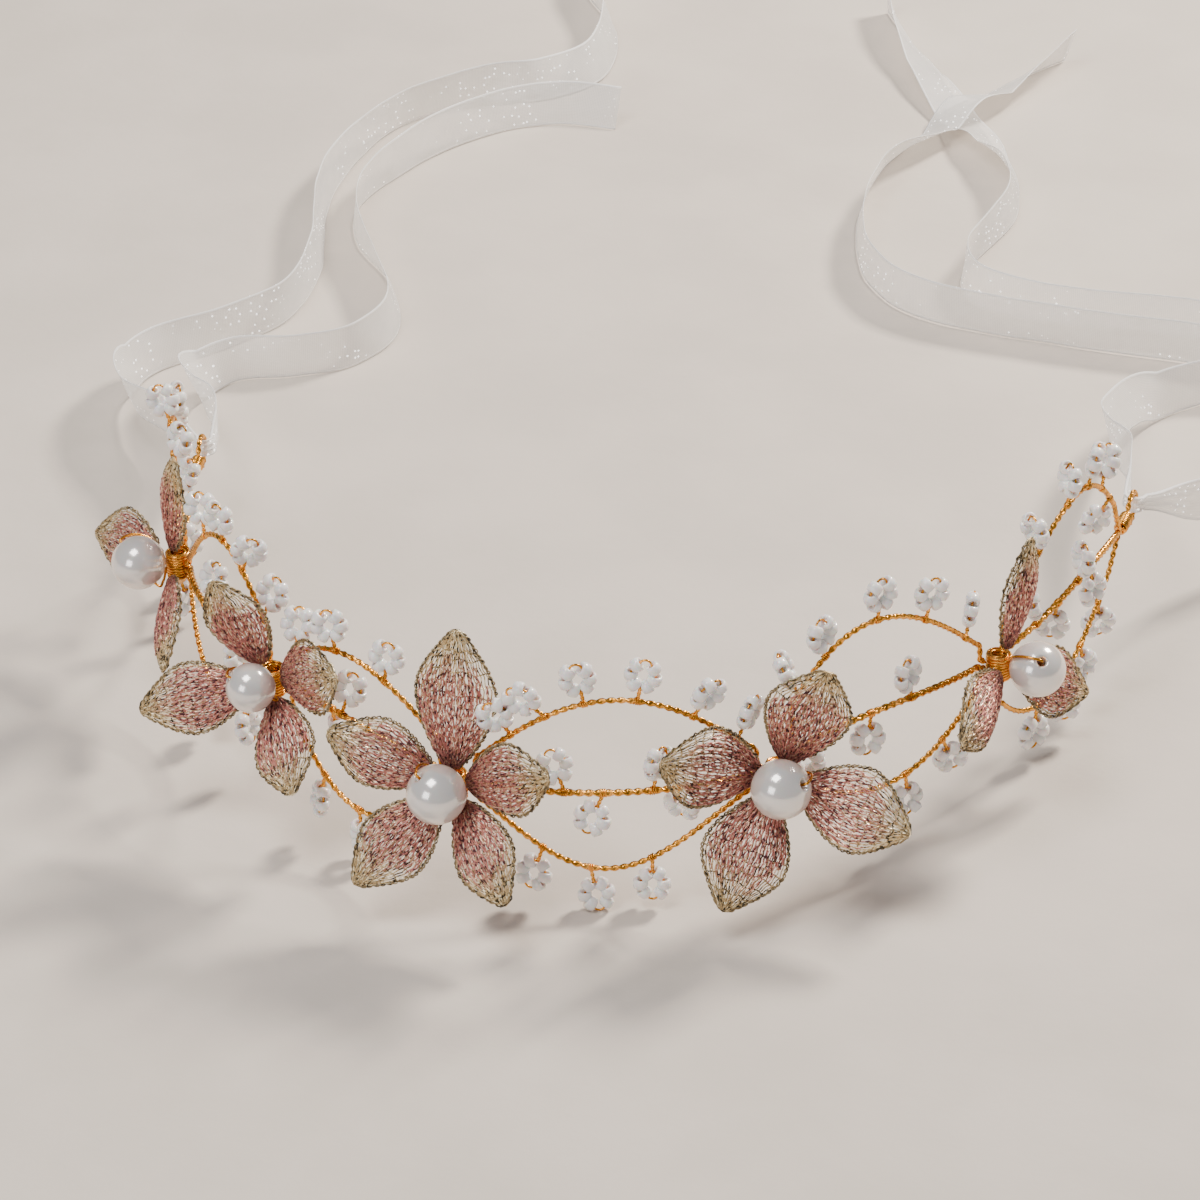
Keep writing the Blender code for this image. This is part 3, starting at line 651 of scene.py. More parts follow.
def organza_finish(colours):
    """Sheer white gauze with denser woven edges and a sparse scatter of glowing specks of painted glint.
    """
    finish = Finish(
        "sheer_gauze", specular_ior_level=0.5, sheen_weight=0.25, sheen_roughness=0.4,
        emission_strength=2.6,
    )
    across = finish.attribute("across")
    run = finish.attribute("run")
    flat = finish.node("ShaderNodeCombineXYZ", {}, {"X": across * 10.0, "Y": run})
    from_middle = finish.node("ShaderNodeMath", {"operation": "ABSOLUTE"}, {0: across - 0.5})
    edge = finish.ease(from_middle, 0.435, 0.475)
    warp, weft = (
        finish.node(
            "ShaderNodeTexWave", {"bands_direction": way},
            {"Vector": flat, "Scale": scale, "Distortion": 0.3}, "Fac",
        )
        for way, scale in (("X", 0.95), ("Y", 0.8))
    )
    cloud = finish.noise(flat, 0.22, 2.0)
    cells = {"Vector": flat, "Scale": 0.55, "Randomness": 1.0}
    near, draw = (
        finish.node("ShaderNodeTexVoronoi", {"voronoi_dimensions": "2D"}, cells, out)
        for out in ("Distance", "Color")
    )
    chosen = finish.node("ShaderNodeSeparateColor", {}, {"Color": draw}, "Red") > 0.5
    patch = finish.noise(flat, 0.06, 1.0)
    # The specks are painted glints: opaque, white and glowing by emission.
    painted_glint = (1.0 - finish.ease(near, 0.05, 0.13)) * chosen * finish.ease(patch, 0.46, 0.58)
    gauze = 0.26 + (warp + weft) * 0.09 + cloud * 0.14
    alpha = gauze + (0.92 - gauze) * edge
    finish.feed("Alpha", alpha + (1.0 - alpha) * painted_glint)
    finish.feed("Base Color", finish.mix(edge * 0.6 + painted_glint * 0.4, toned(colours.organza, 0.97), WHITE))
    finish.feed("Roughness", 0.5 - painted_glint * 0.3)
    # Painted glint: the specks glow.
    finish.feed("Emission Color", finish.mix(painted_glint, BLACK, (1.0, 0.99, 0.97, 1.0)))
    return finish.material


def floor_finish(colours):
    """Pale plaster, barely uneven."""
    finish = Finish("floor", specular_ior_level=0.2)
    place = finish.place()
    broad = finish.noise(place, 26.0, 5.0)
    grain = finish.noise(place, 240.0, 4.0)
    dim = toned(colours.floor, 0.93)
    finish.feed("Base Color", finish.mix(finish.ease(broad, 0.35, 0.65), dim, opaque(colours.floor)))
    finish.feed("Roughness", 0.78 + grain * 0.15)
    finish.bump(broad * 0.8 + grain * 0.2, 0.35, 1.6)
    return finish.material


# ---- the crown's geometry -------------------------------------------------------------


def band_frame(degrees):
    """The band's outward direction and its tangent to the right, seen from outside."""
    turn = math.radians(degrees)
    outward = Vector((HALF_DEPTH * math.sin(turn), -HALF_WIDTH * math.cos(turn), 0.0)).normalized()
    return outward, Vector((-outward.y, outward.x, 0.0))


def band_point(degrees, height, inset):
    turn = math.radians(degrees)
    outward, _ = band_frame(degrees)
    return Vector((HALF_WIDTH * math.sin(turn), -HALF_DEPTH * math.cos(turn), height)) - outward * inset


def flower_frame(flower):
    """The flower's hub, and its front, right and up directions."""
    degrees, height = flower["place"]
    outward, right = band_frame(degrees)
    turned = Matrix.Rotation(math.radians(flower["turn"]), 3, "Z")
    outward = turned @ outward
    right = turned @ right
    tilted = Matrix.Rotation(-math.radians(flower["tilt"]), 3, right)
    return band_point(degrees, height, HUB_INSET), tilted @ outward, right, tilted @ UP


def petal_half_width(along, width):
    along = min(max(along, 0.0), 1.0)
    swell = math.sin(math.pi * along ** PETAL_WIDEST) ** PETAL_FULLNESS
    end = PETAL_BASE_WIDTH * (1.0 - along) + PETAL_TIP_WIDTH * along
    beyond = max(0.0, along - PETAL_POINTED_FROM) / (1.0 - PETAL_POINTED_FROM)
    return 0.5 * (end + (width - end) * swell) * (1.0 - PETAL_POINTED * beyond ** PETAL_POINT_CURVE)


def petal_surface(flower, petal):
    """A function from along (0 to 1), across (-1 to 1) and height off the petal to a point."""
    direction, rise, length, width = petal
    hub, front, right, up = flower_frame(flower)
    turn = math.radians(direction)
    radial = right * math.cos(turn) + up * math.sin(turn)
    along_axis = radial * math.cos(math.radians(rise)) + front * math.sin(math.radians(rise))
    side = front.cross(radial)
    face = along_axis.cross(side)
    start = hub + radial * PETAL_START + front * PETAL_LIFT
    reach = length - PETAL_START

    def point(along, across, off):
        half = petal_half_width(along, width)
        lift = PETAL_BOW * math.sin(math.pi * along) - PETAL_CROWN * half * across * across
        return start + along_axis * (along * reach) + side * (across * half) + face * (lift + off)

    return point, reach


def vine_point(number, strand, share):
    (first, low), (last, high) = STOPS[number], STOPS[number + 1]
    rise, skew, fullness, _ = SPANS[number][strand]
    crest = max(math.sin(math.pi * share ** skew), 0.0) ** fullness
    height = low + (high - low) * share + rise * crest + VINE_STACK[strand]
    near_hub = 2.0 * share - 1.0
    if at_band_end(number, 0) and near_hub < 0.0 or at_band_end(number, 1) and near_hub > 0.0:
        near_hub = 0.0
    inset = ARCH_INSET + (VINE_INSET - ARCH_INSET) * near_hub * near_hub
    return band_point(first + (last - first) * share, height, inset)


def end_frame(side):
    """Where the barrel starts, which way it runs, and the band's outward direction there."""
    degrees, height = LEFT_END if side == "left" else RIGHT_END
    outward, right = band_frame(degrees)
    away = -right if side == "left" else right
    return band_point(degrees, height, ARCH_INSET), away, outward


def ring_centre(side):
    start, away, _ = end_frame(side)
    return start + away * (END_BARREL_LENGTH + END_RING_RADIUS - END_RING_SINK)


def pearl_centre(flower):
    hub, front, _, _ = flower_frame(flower)
    return hub + front * (PEARL_SEAT + 0.5 * flower["pearl"])


def hole_axis(flower):
    """The way across the pearl towards its hole, and from its middle out through the hole."""
    _, front, right, up = flower_frame(flower)
    turn = math.radians(flower["hole"])
    outward = right * math.cos(turn) + up * math.sin(turn)
    lean = math.radians(HOLE_LEAN)
    return outward, outward * math.cos(lean) + front * math.sin(lean)


def even_steps(points, step):
    """Points a step apart along a polyline, its ends kept, measured on their first three numbers."""
    lengths = [0.0]
    for one, two in zip(points, points[1:]):
        lengths.append(lengths[-1] + (two.xyz - one.xyz).length)
    pieces = max(2, round(lengths[-1] / step))
    found = []
    index = 0
    for piece in range(pieces + 1):
        wanted = lengths[-1] * piece / pieces
        while index < len(points) - 2 and lengths[index + 1] < wanted:
            index += 1
        share = (wanted - lengths[index]) / max(lengths[index + 1] - lengths[index], 1e-9)
        found.append(points[index].lerp(points[index + 1], share))
    return found


# ---- modelling ------------------------------------------------------------------------


def put_down():
    """Leaves edit mode, and deselects everything."""
    if bpy.context.object and bpy.context.object.mode != "OBJECT":
        bpy.ops.object.mode_set(mode="OBJECT")
    bpy.ops.object.select_all(action="DESELECT")


def pick_up(thing):
    put_down()
    thing.select_set(True)
    bpy.context.view_layer.objects.active = thing
    return thing


def named(name):
    thing = bpy.context.object
    thing.name = name
    thing.data.name = name
    return thing


def drop_edges(thing, unwanted):
    """Deletes the faces, and the edges whose two ends the test says are unwanted."""
    pick_up(thing)
    bpy.ops.object.mode_set(mode="EDIT")
    bpy.ops.mesh.select_mode(type="EDGE")
    bpy.ops.mesh.select_all(action="SELECT")
    bpy.ops.mesh.delete(type="ONLY_FACE")
    bpy.ops.mesh.select_all(action="DESELECT")
    bpy.ops.object.mode_set(mode="OBJECT")
    for edge in thing.data.edges:
        edge.select = unwanted(*edge.vertices)
    bpy.ops.object.mode_set(mode="EDIT")
    bpy.ops.mesh.delete(type="EDGE")
    bpy.ops.object.mode_set(mode="OBJECT")


def merged(thing, distance=0.0005):
    """Merges doubles and turns the faces outward."""
    pick_up(thing)
    bpy.ops.object.mode_set(mode="EDIT")
    bpy.ops.mesh.select_all(action="SELECT")
    bpy.ops.mesh.remove_doubles(threshold=distance * MM)
    bpy.ops.mesh.normals_make_consistent(inside=False)
    bpy.ops.object.mode_set(mode="OBJECT")
    bpy.ops.object.shade_smooth()
    return thing


def line_from(points, closed=False):
    """A curve through the points, made from a circle whose vertices are moved onto them."""
    put_down()
    bpy.ops.mesh.primitive_circle_add(vertices=len(points), radius=MM, fill_type="NOTHING")
    thing = bpy.context.object
    for spot, place in zip(thing.data.vertices, points):
        spot.co = Vector(place) * MM
    if not closed:
        drop_edges(thing, lambda a, b: abs(a - b) > 1)
    pick_up(thing)
    bpy.ops.object.convert(target="CURVE")
    return bpy.context.object


def profile_of_two(radius):
    """The cross-section of two wires side by side, as a closed curve to sweep."""
    sides = 12
    ring = []
    for step in range(sides):
        turn = 2.0 * math.pi * (step + 0.5) / sides
        lobe = radius if math.cos(turn) > 0 else -radius
        aside = lobe * 0.96 + radius * 1.02 * math.cos(turn)
        ring.append((aside, 1.05 * radius * math.sin(turn), 0.0))
    thing = line_from(ring, closed=True)
    thing.data.dimensions = "2D"
    thing.data.fill_mode = "NONE"
    return thing


def swept(line, radius=0.0, sides=1, profile=None, pitch=0.0, start_turn=0.0):
    """A closed tube along the line: round, or the profile twisted once in every pitch."""
    pick_up(line)
    curve = line.data
    curve.dimensions = "3D"
    curve.use_fill_caps = True
    if not profile:
        curve.bevel_depth = radius * MM
        curve.bevel_resolution = sides
        bpy.ops.object.convert(target="MESH")
        return bpy.context.object
    curve.bevel_mode = "OBJECT"
    curve.bevel_object = profile
    for spline in curve.splines:
        run = 0.0
        last = spline.points[0].co.copy()
        for spot in spline.points:
            run += (spot.co - last).length / MM
            last = spot.co.copy()
            spot.tilt = start_turn + 2.0 * math.pi * run / pitch
    bpy.ops.object.convert(target="MESH")
    return bpy.context.object


def joined(things, name):
    put_down()
    for thing in things:
        thing.select_set(True)
    bpy.context.view_layer.objects.active = things[0]
    if len(things) > 1:
        bpy.ops.object.join()
    return named(name)


def numbers_on(thing, name, values):
    """Writes one number a vertex, for the finish to read."""
    layer = thing.data.attributes.get(name) or thing.data.attributes.new(name, "FLOAT", "POINT")
    layer.data.foreach_set("value", values)


def dressed(thing, material, body, node):
    """Gives the piece its finish and its body, and has it stand for the node."""
    thing.data.materials.clear()
    thing.data.materials.append(material)
    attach(thing, body)
    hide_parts(node)


def finish_named(name, maker):
    """The finish of that name, made the first time it is asked for."""
    return bpy.data.materials.get(name) or maker(bpy.context.scene.crown_colours)


# ---- petals ---------------------------------------------------------------------------


def thread_sheet(stations, strands, place, radius, taper=None):
    """Threads from a grid: its vertices are placed, its ties cut, and the rest made round.

    The place function takes the station and the strand, and gives a point. Also returns the
    strand that each vertex of the threads is on.
    """
    put_down()
    bpy.ops.mesh.primitive_grid_add(
        x_subdivisions=stations - 1, y_subdivisions=strands - 1, size=MM,
    )
    sheet = bpy.context.object
    for index, spot in enumerate(sheet.data.vertices):
        spot.co = place(index % stations, index // stations) * MM
    drop_edges(sheet, lambda a, b: a % stations == b % stations)
    pick_up(sheet)
    bpy.ops.object.convert(target="CURVE")
    curve = bpy.context.object.data
    curve.bevel_depth = radius * MM
    curve.bevel_resolution = 0
    curve.use_fill_caps = True
    lines = len(curve.splines)
    spots = len(curve.splines[0].points)
    if taper:
        for spline in curve.splines:
            for index, spot in enumerate(spline.points):
                spot.radius = taper(index / (spots - 1))
    bpy.ops.object.convert(target="MESH")
    threads = bpy.context.object
    # The vertices of the caps come first, then those of the tubes, four to a station.
    sides = 4
    caps = lines * 2 * sides
    strand_of = [
        index // (2 * sides) if index < caps else (index - caps) // (spots * sides)
        for index in range(len(threads.data.vertices))
    ]
    return threads, strand_of


def petal_numbers(threads, strand_of, seed, rose, layout):
    """Writes where each vertex lies on its petal, which strand it is on and its colour."""
    start, along_axis, side, reach, width = layout
    alongs, acrosses = [], []
    for spot in threads.data.vertices:
        away = spot.co / MM - start
        along = away.dot(along_axis) / reach
        alongs.append(along)
        acrosses.append(abs(away.dot(side)) / petal_half_width(along, width))
    numbers_on(threads, "along", alongs)
    numbers_on(threads, "across", acrosses)
    numbers_on(threads, "run", [along * reach for along in alongs])
    numbers_on(threads, "strand", [float(seed + strand) for strand in strand_of])
    numbers_on(threads, "rose", [rose] * len(strand_of))


def strand_ways(draws, strands, sway, depth):
    """Each strand's phase and rate aside, depth, phase of its depth, and sway."""
    return [
        (draws.uniform(0, ANY_PHASE), draws.uniform(*RATE_SPREAD), draws.uniform(-depth, depth),
         draws.uniform(0, ANY_PHASE), draws.uniform(*SWAY_SPREAD) * sway)
        for _ in range(strands)
    ]


def weave_petal(name, flower, petal, seed, sizes):
    """A petal: net strands, ties across, a looped rim, and rose threads laid over them."""
    point, reach = petal_surface(flower, petal)
    width = petal[3]
    start = point(0.0, 0.0, 0.0)
    along_axis = (point(1.0, 0.0, 0.0) - start).normalized()
    side = (point(0.5, 1.0, 0.0) - point(0.5, -1.0, 0.0)).normalized()
    layout = (start, along_axis, side, reach, width)
    draws = random.Random(seed)

    net_count = sizes.net_strands
    net_stations = round(reach / THREAD_STEP)
    net_ways = strand_ways(draws, net_count, NET_SWAY, NET_DEPTH)

    def net_place(station, strand):
        along = station / (net_stations - 1)
        across = -1.0 + 2.0 * strand / (net_count - 1)
        phase, rate, deep, other, sideways = net_ways[strand]
        run = along * reach
        shift = sideways * math.sin(phase + run * NET_RATE * rate)
        half = petal_half_width(along, width)
        pinch = math.sin(math.pi * min(max(along, 0.0), 1.0)) ** NET_PINCH
        if abs(across) < NET_EDGE:
            across += shift * pinch / half
        else:
            across += NET_EDGE_SWAY * math.sin(run * NET_EDGE_RATE) / half
        return point(along, across, deep + NET_LIFT * math.sin(other + run * NET_LIFT_RATE))

    rose_count = sizes.rose_strands
    rose_stations = round(ROSE_LENGTH * reach / THREAD_STEP)
    rose_ways = strand_ways(draws, rose_count, ROSE_SWAY, ROSE_DEPTH)
    ends = [
        ROSE_END - ROSE_RAGGED * abs(-1.0 + 2.0 * (strand + 0.5) / rose_count) ** ROSE_SHOULDER
        - draws.uniform(0.0, ROSE_RAGGED)
        for strand in range(rose_count)
    ]

    def rose_place(station, strand):
        along = ends[strand] * station / (rose_stations - 1)
        across = ROSE_SPREAD * (-1.0 + 2.0 * strand / (rose_count - 1))
        phase, rate, deep, other, sideways = rose_ways[strand]
        run = along * reach
        shift = sideways * math.sin(phase + run * ROSE_RATE * rate)
        across += shift / petal_half_width(along, width)
        off = ROSE_ABOVE if strand % 3 else ROSE_BELOW
        lift = ROSE_LIFT * math.sin(other + run * ROSE_LIFT_RATE)
        return point(along, across, off + deep + lift)

    def rose_taper(share):
        return 1.0 - ROSE_TAPER * max(0.0, share - ROSE_TAPERS_FROM) / ROSE_TAPER_LENGTH

    rows = max(4, round(reach * MM / sizes.tie_spacing))
    columns = 2 * net_count + 1
    row_waves = [
        (draws.uniform(0, ANY_PHASE), draws.uniform(-TIE_SLIP, TIE_SLIP)) for _ in range(rows)
    ]

    def tie_place(station, row):
        phase, slip = row_waves[row]
        across = -1.0 + 2.0 * station / (columns - 1)
        wave = TIE_WAVE * math.sin(phase + TIE_WAVES * across)
        run = reach * (row + TIE_FIRST) / (rows + TIE_ROOM) + slip + wave
        return point(min(run / reach, TIE_LAST), across, TIE_DEPTH if station % 2 else -TIE_DEPTH)

    rim_stations = round(RIM_LENGTH * reach / RIM_STEP)

    def rim_place(station, strand):
        way = station / (rim_stations - 1)
        edge = 1.0 if way < 0.5 else -1.0
        along = RIM_FROM + RIM_REACH * (1.0 - abs(2.0 * way - 1.0))
        loop = RIM_LOOP * math.sin(station * RIM_TURN + RIM_LOOP_SHIFT * strand)
        across = edge + edge * (RIM_OUT + loop) / petal_half_width(min(along, 1.0), width)
        if along > RIM_CLOSES_FROM:
            closing = min((along - RIM_CLOSES_FROM) / RIM_CLOSES_OVER, 0.5)
            across *= math.cos(math.pi * closing)
        return point(along, across, RIM_DEPTH * math.cos(station * RIM_TURN + RIM_DEPTH_SHIFT * strand))

    net_thread = sizes.net_thread / MM
    parts = []
    for order, (stations, strands, place, radius, rose, taper) in enumerate((
        (net_stations, net_count, net_place, net_thread, 0.0, None),
        (rose_stations, rose_count, rose_place, sizes.rose_thread / MM, 1.0, rose_taper),
        (columns, rows, tie_place, sizes.tie_thread / MM, 0.0, None),
        (rim_stations, 2, rim_place, RIM_THREAD * net_thread, 0.0, None),
    )):
        threads, strand_of = thread_sheet(stations, strands, place, radius, taper)
        petal_numbers(threads, strand_of, seed + LAYER_SEEDS * order, rose, layout)
        parts.append(threads)
    return merged(joined(parts, name))


class CROWN_OT_petals(bpy.types.Operator):
    """Weaves the petals from net, ties, rim and rose threads"""

    bl_idname = "crown.petals"
    bl_label = "Petals"

    def execute(self, context):
        sizes = context.scene.crown_sizes
        material = finish_named("two_tone_yarn", thread_finish)
        for number, flower in enumerate(FLOWERS, start=1):
            for index, petal in enumerate(flower["petals"], start=1):
                seed = PETAL_SEEDS * (5 * number + index)
                woven = weave_petal(f"thread_petal_{number}_{index}", flower, petal, seed, sizes)
                body = FLOWER_BODIES[number - 1]
                dressed(woven, material, body, f"flower_{number}_petal_{index}")
        return {"FINISHED"}


# ---- pearls ---------------------------------------------------------------------------


def drilled_pearl(name, flower, hole):
    """A ball whose pole caps are cut off and whose two rims are bridged into a hole.

    The hole's mouth is countersunk, as a drill leaves it.
    """
    radius = 0.5 * flower["pearl"]
    mouth = hole + COUNTERSINK_WIDTH
    rim = math.sqrt(radius * radius - mouth * mouth)
    put_down()
    bpy.ops.mesh.primitive_uv_sphere_add(
        segments=PEARL_SEGMENTS, ring_count=PEARL_SEGMENTS, radius=radius * MM,
    )
    pearl = named(name)
    for part in (*pearl.data.edges, *pearl.data.polygons):
        part.select = False
    for spot in pearl.data.vertices:
        spot.select = abs(spot.co.z) > rim * MM
    bpy.ops.object.mode_set(mode="EDIT")
    bpy.ops.mesh.select_mode(type="VERT")
    bpy.ops.mesh.delete(type="VERT")
    bpy.ops.object.mode_set(mode="OBJECT")

    def put(spot, from_axis, height):
        flat = Vector((spot.co.x, spot.co.y, 0.0)).normalized() * from_axis * MM
        spot.co = (flat.x, flat.y, height)

    reach = max(spot.co.z for spot in pearl.data.vertices)
    for spot in pearl.data.vertices:
        if abs(spot.co.z) > reach - 1e-7:
            put(spot, mouth, math.copysign(rim * MM, spot.co.z))
    shell = len(pearl.data.vertices)
    bpy.ops.object.mode_set(mode="EDIT")
    bpy.ops.mesh.select_all(action="DESELECT")
    bpy.ops.mesh.select_mode(type="EDGE")
    bpy.ops.mesh.select_non_manifold()
    bpy.ops.mesh.bridge_edge_loops(number_cuts=HOLE_RINGS)
    bpy.ops.object.mode_set(mode="OBJECT")
    for spot in pearl.data.vertices[shell:]:
        deep = spot.co.z
        if abs(deep) > 0.6 * rim * MM:
            deep = math.copysign((rim - COUNTERSINK_DEPTH) * MM, deep)
        put(spot, hole, deep)
    _, axis = hole_axis(flower)
    turned = UP.rotation_difference(axis).to_matrix().to_4x4()
    pearl.data.transform(Matrix.Translation(pearl_centre(flower) * MM) @ turned)
    return merged(pearl, 0.01)


def pearl_wire_route(flower, wire):
    """Over the pearl from the front, in at its hole, out at its back and behind the flower."""
    radius = 0.5 * flower["pearl"]
    outward, axis = hole_axis(flower)
    hub, front, _, _ = flower_frame(flower)
    centre = pearl_centre(flower)
    route = []
    for index, angle in enumerate(PEARL_WIRE_ANGLES):
        turn = math.radians(angle)
        bow = PEARL_WIRE_BOW * math.sin(math.pi * index / (len(PEARL_WIRE_ANGLES) - 1))
        raised = radius + wire + PEARL_WIRE_GAP + bow
        route.append(centre + (outward * math.cos(turn) + front * math.sin(turn)) * raised)
    for share in PEARL_WIRE_IN:
        route.append(centre + axis * share * radius)
    route.append(centre - axis * (radius + PEARL_WIRE_OUT))
    for aside, ahead in PEARL_WIRE_BEHIND:
        route.append(hub - outward * aside + front * ahead)
    return even_steps(smooth_route(route), PEARL_WIRE_STEP)


class CROWN_OT_pearls(bpy.types.Operator):
    """Drills the pearls and threads each on its gilt wire"""

    bl_idname = "crown.pearls"
    bl_label = "Pearls"

    def execute(self, context):
        sizes = context.scene.crown_sizes
        nacre = finish_named("silvery_nacre", nacre_finish)
        gilt = finish_named("lacquered_gilt", gilt_finish)
        wire = 0.9 * sizes.wire / MM
        for number, flower in enumerate(FLOWERS, start=1):
            pearl = drilled_pearl(f"drilled_pearl_{number}", flower, sizes.pearl_hole / MM)
            dressed(pearl, nacre, f"pearl_{number}", f"flower_{number}_pearl")
            merged(swept(line_from(pearl_wire_route(flower, wire)), wire, 2))
            threaded = named(f"threading_wire_{number}")
            body = FLOWER_BODIES[number - 1]
            dressed(threaded, gilt, body, f"flower_{number}_pearl_wire")
        return {"FINISHED"}


# ---- bindings and end loops -----------------------------------------------------------


def wound_coil(centre, axis, radius, length, wire, start=0.0):
    """A close coil of wire round the axis, its two ends tucked in."""
    turns = length / (2.0 * wire * COIL_PITCH)
    steps = max(COIL_FEWEST, round(turns * COIL_STEPS))
    side = axis.orthogonal().normalized()
    other = axis.cross(side)
    route = []
    for step in range(steps + 1):
        share = step / steps
        turn = start + 2.0 * math.pi * turns * share
        tuck = min(1.0, COIL_TUCK_RATE * min(share, 1.0 - share) + COIL_TUCK)
        around = side * math.cos(turn) + other * math.sin(turn)
        route.append(centre + axis * (length * (share - 0.5)) + around * (radius * tuck))
    return merged(swept(line_from(route), wire))


class CROWN_OT_bindings(bpy.types.Operator):
    """Winds the wire that binds the vines behind each flower"""

    bl_idname = "crown.bindings"
    bl_label = "Bindings"

    def execute(self, context):
        gilt = finish_named("lacquered_gilt", gilt_finish)
        wire = context.scene.crown_sizes.wire / MM
        for number, flower in enumerate(FLOWERS, start=1):
            hub = flower_frame(flower)[0]
            layers = [
                wound_coil(hub, UP, BINDING_RADIUS - inward * wire, BINDING_HEIGHT - short * wire,
                           wire, number + later)
                for inward, short, later in ((1.0, 2.0, 0), (2.9, 3.0, 2))
            ]
            binding = joined(layers, f"wound_binding_{number}")
            body = FLOWER_BODIES[number - 1]
            dressed(binding, gilt, body, f"flower_{number}_binding")
        return {"FINISHED"}


class CROWN_OT_end_loops(bpy.types.Operator):
    """Winds the barrel and bends the ring at each end of the band"""

    bl_idname = "crown.end_loops"
    bl_label = "End loops"

    def execute(self, context):
        sizes = context.scene.crown_sizes
        gilt = finish_named("lacquered_gilt", gilt_finish)
        wire = sizes.wire / MM
        profile = profile_of_two(wire)
        for side in ("left", "right"):
            start, away, _ = end_frame(side)
            middle = start + away * (0.5 * END_BARREL_LENGTH)
            winding = END_BARREL_LENGTH - 2.0 * wire
            barrel = wound_coil(middle, away, END_BARREL_RADIUS - wire, winding, wire)
            core_end = start + away * (END_BARREL_LENGTH + END_CORE_PAST)
            core_route = even_steps([start - away * END_CORE_BEFORE, core_end], END_CORE_STEP)
            core = merged(swept(line_from(core_route), profile=profile, pitch=END_CORE_PITCH))
            ring = []
            for step in range(END_RING_STEPS + 1):
                share = 2.0 * step / END_RING_STEPS * END_RING_SHARE
                turn = math.pi * (1.0 + share + END_RING_START)
                around = away * math.cos(turn) + Vector((0, 0, math.sin(turn)))
                ring.append(ring_centre(side) + around * END_RING_RADIUS)
            pitch = sizes.twist_pitch / MM
            loop = merged(swept(line_from(ring), profile=profile, pitch=pitch))
            piece = joined([barrel, core, loop], f"wound_end_loop_{side}")
            dressed(piece, gilt, f"{side}_tip", f"{side}_end_loop")
        bpy.data.objects.remove(profile)
        return {"FINISHED"}


# ---- vines and beads ------------------------------------------------------------------


def sprig_frame(number, strand, sprig):
    """The sprig's foot on its vine, its direction, the way across its loop and its centre."""
    share, upward, slant, lean, twist = sprig
    first, last = STOPS[number][0], STOPS[number + 1][0]
    foot = vine_point(number, strand, share)
    outward, right = band_frame(first + (last - first) * share)
    slope = math.radians(slant)
    tip = math.radians(lean)
    direction = Vector((0, 0, upward)) * math.cos(slope) * math.cos(tip)
    direction = (direction + right * math.sin(slope) + outward * math.sin(tip)).normalized()
    across = Matrix.Rotation(math.radians(twist), 3, direction) @ right
    across = (across - direction * across.dot(direction)).normalized()
    centre = foot + direction * (STEM_LENGTH + BEAD_LOOP_LONG + BEAD_LOOP_GAP)
    return foot, direction, across, centre


def loop_point(across, direction, centre, degrees, swell=0.0):
    turn = math.radians(degrees)
    return (
        centre + direction * ((BEAD_LOOP_LONG + swell) * math.sin(turn))
        + across * ((BEAD_LOOP_WIDE + swell) * math.cos(turn))
    )


def rounded_bead(sizes):
    """One bead about its own Z: a ring whose section is squared off towards a short tube."""
    put_down()
    outer = 0.5 * sizes.bead
    hole = BEAD_HOLE * sizes.bead
    middle = 0.5 * (outer + hole)
    thick = 0.5 * (outer - hole)
    bpy.ops.mesh.primitive_torus_add(
        major_segments=12, minor_segments=8, major_radius=middle, minor_radius=thick,
    )
    bead = bpy.context.object
    half = 0.5 * sizes.bead_length

    def squared(value):
        return math.copysign(abs(value) ** BEAD_CORNERS, value)

    for spot in bead.data.vertices:
        flat = Vector((spot.co.x, spot.co.y, 0.0))
        radius = middle + thick * squared((flat.length - middle) / thick)
        height = half * squared(spot.co.z / thick)
        spot.co = flat.normalized() * radius + Vector((0.0, 0.0, height))
    bpy.ops.object.shade_smooth()
    return bead


def smooth_route(points, parts=8):
    """A denser polyline on a smooth curve through the points."""
    found = []
    count = len(points)
    for index in range(count - 1):
        before = points[max(index - 1, 0)]
        here, there = points[index], points[index + 1]
        after = points[min(index + 2, count - 1)]
        for part in range(parts):
            t = part / parts
            found.append(
                0.5 * (2 * here + (there - before) * t
                       + (2 * before - 5 * here + 4 * there - after) * t ** 2
                       + (3 * here - before - 3 * there + after) * t ** 3)
            )
    found.append(points[-1].copy())
    return found


def at_band_end(number, side):
    return (number, side) in ((0, 0), (len(SPANS) - 1, 1))


def vine_lead(number, strand, spot, side):
    """Two points that lead a vine's end into the binding or the barrel that holds it."""
    if at_band_end(number, side):
        mouth, away, _ = end_frame("right" if side else "left")
        return [mouth + away, mouth - away * LEAD_IN]
    hub = flower_frame(FLOWERS[number - 1 + side])[0]
    towards = Vector((spot.x - hub.x, spot.y - hub.y, 0.0)).normalized()
    wall = hub + Vector((0.0, 0.0, VINE_STACK[strand])) + towards * (BINDING_RADIUS + LEAD_GAP)
    return [wall, wall + towards * LEAD_LENGTH]


def vine_route(number, strand):
    """The vine's own points, led at both ends into what holds it."""
    length = (vine_point(number, "middle", 1.0) - vine_point(number, "middle", 0.0)).length
    margin = (BINDING_RADIUS + VINE_RADIUS[strand] + CLEARANCE) / length
    dense = [
        vine_point(number, strand, margin + (1.0 - 2.0 * margin) * step / (VINE_POINTS - 1))
        for step in range(VINE_POINTS)
    ]
    for side in (0, 1):
        skip = LEAD_SKIP if at_band_end(number, side) else 0
        lead = vine_lead(number, strand, dense[skip], side)
        dense = smooth_route(lead + [dense[skip], dense[skip + 4]]) + dense[skip + 5:]
        dense.reverse()
    return dense


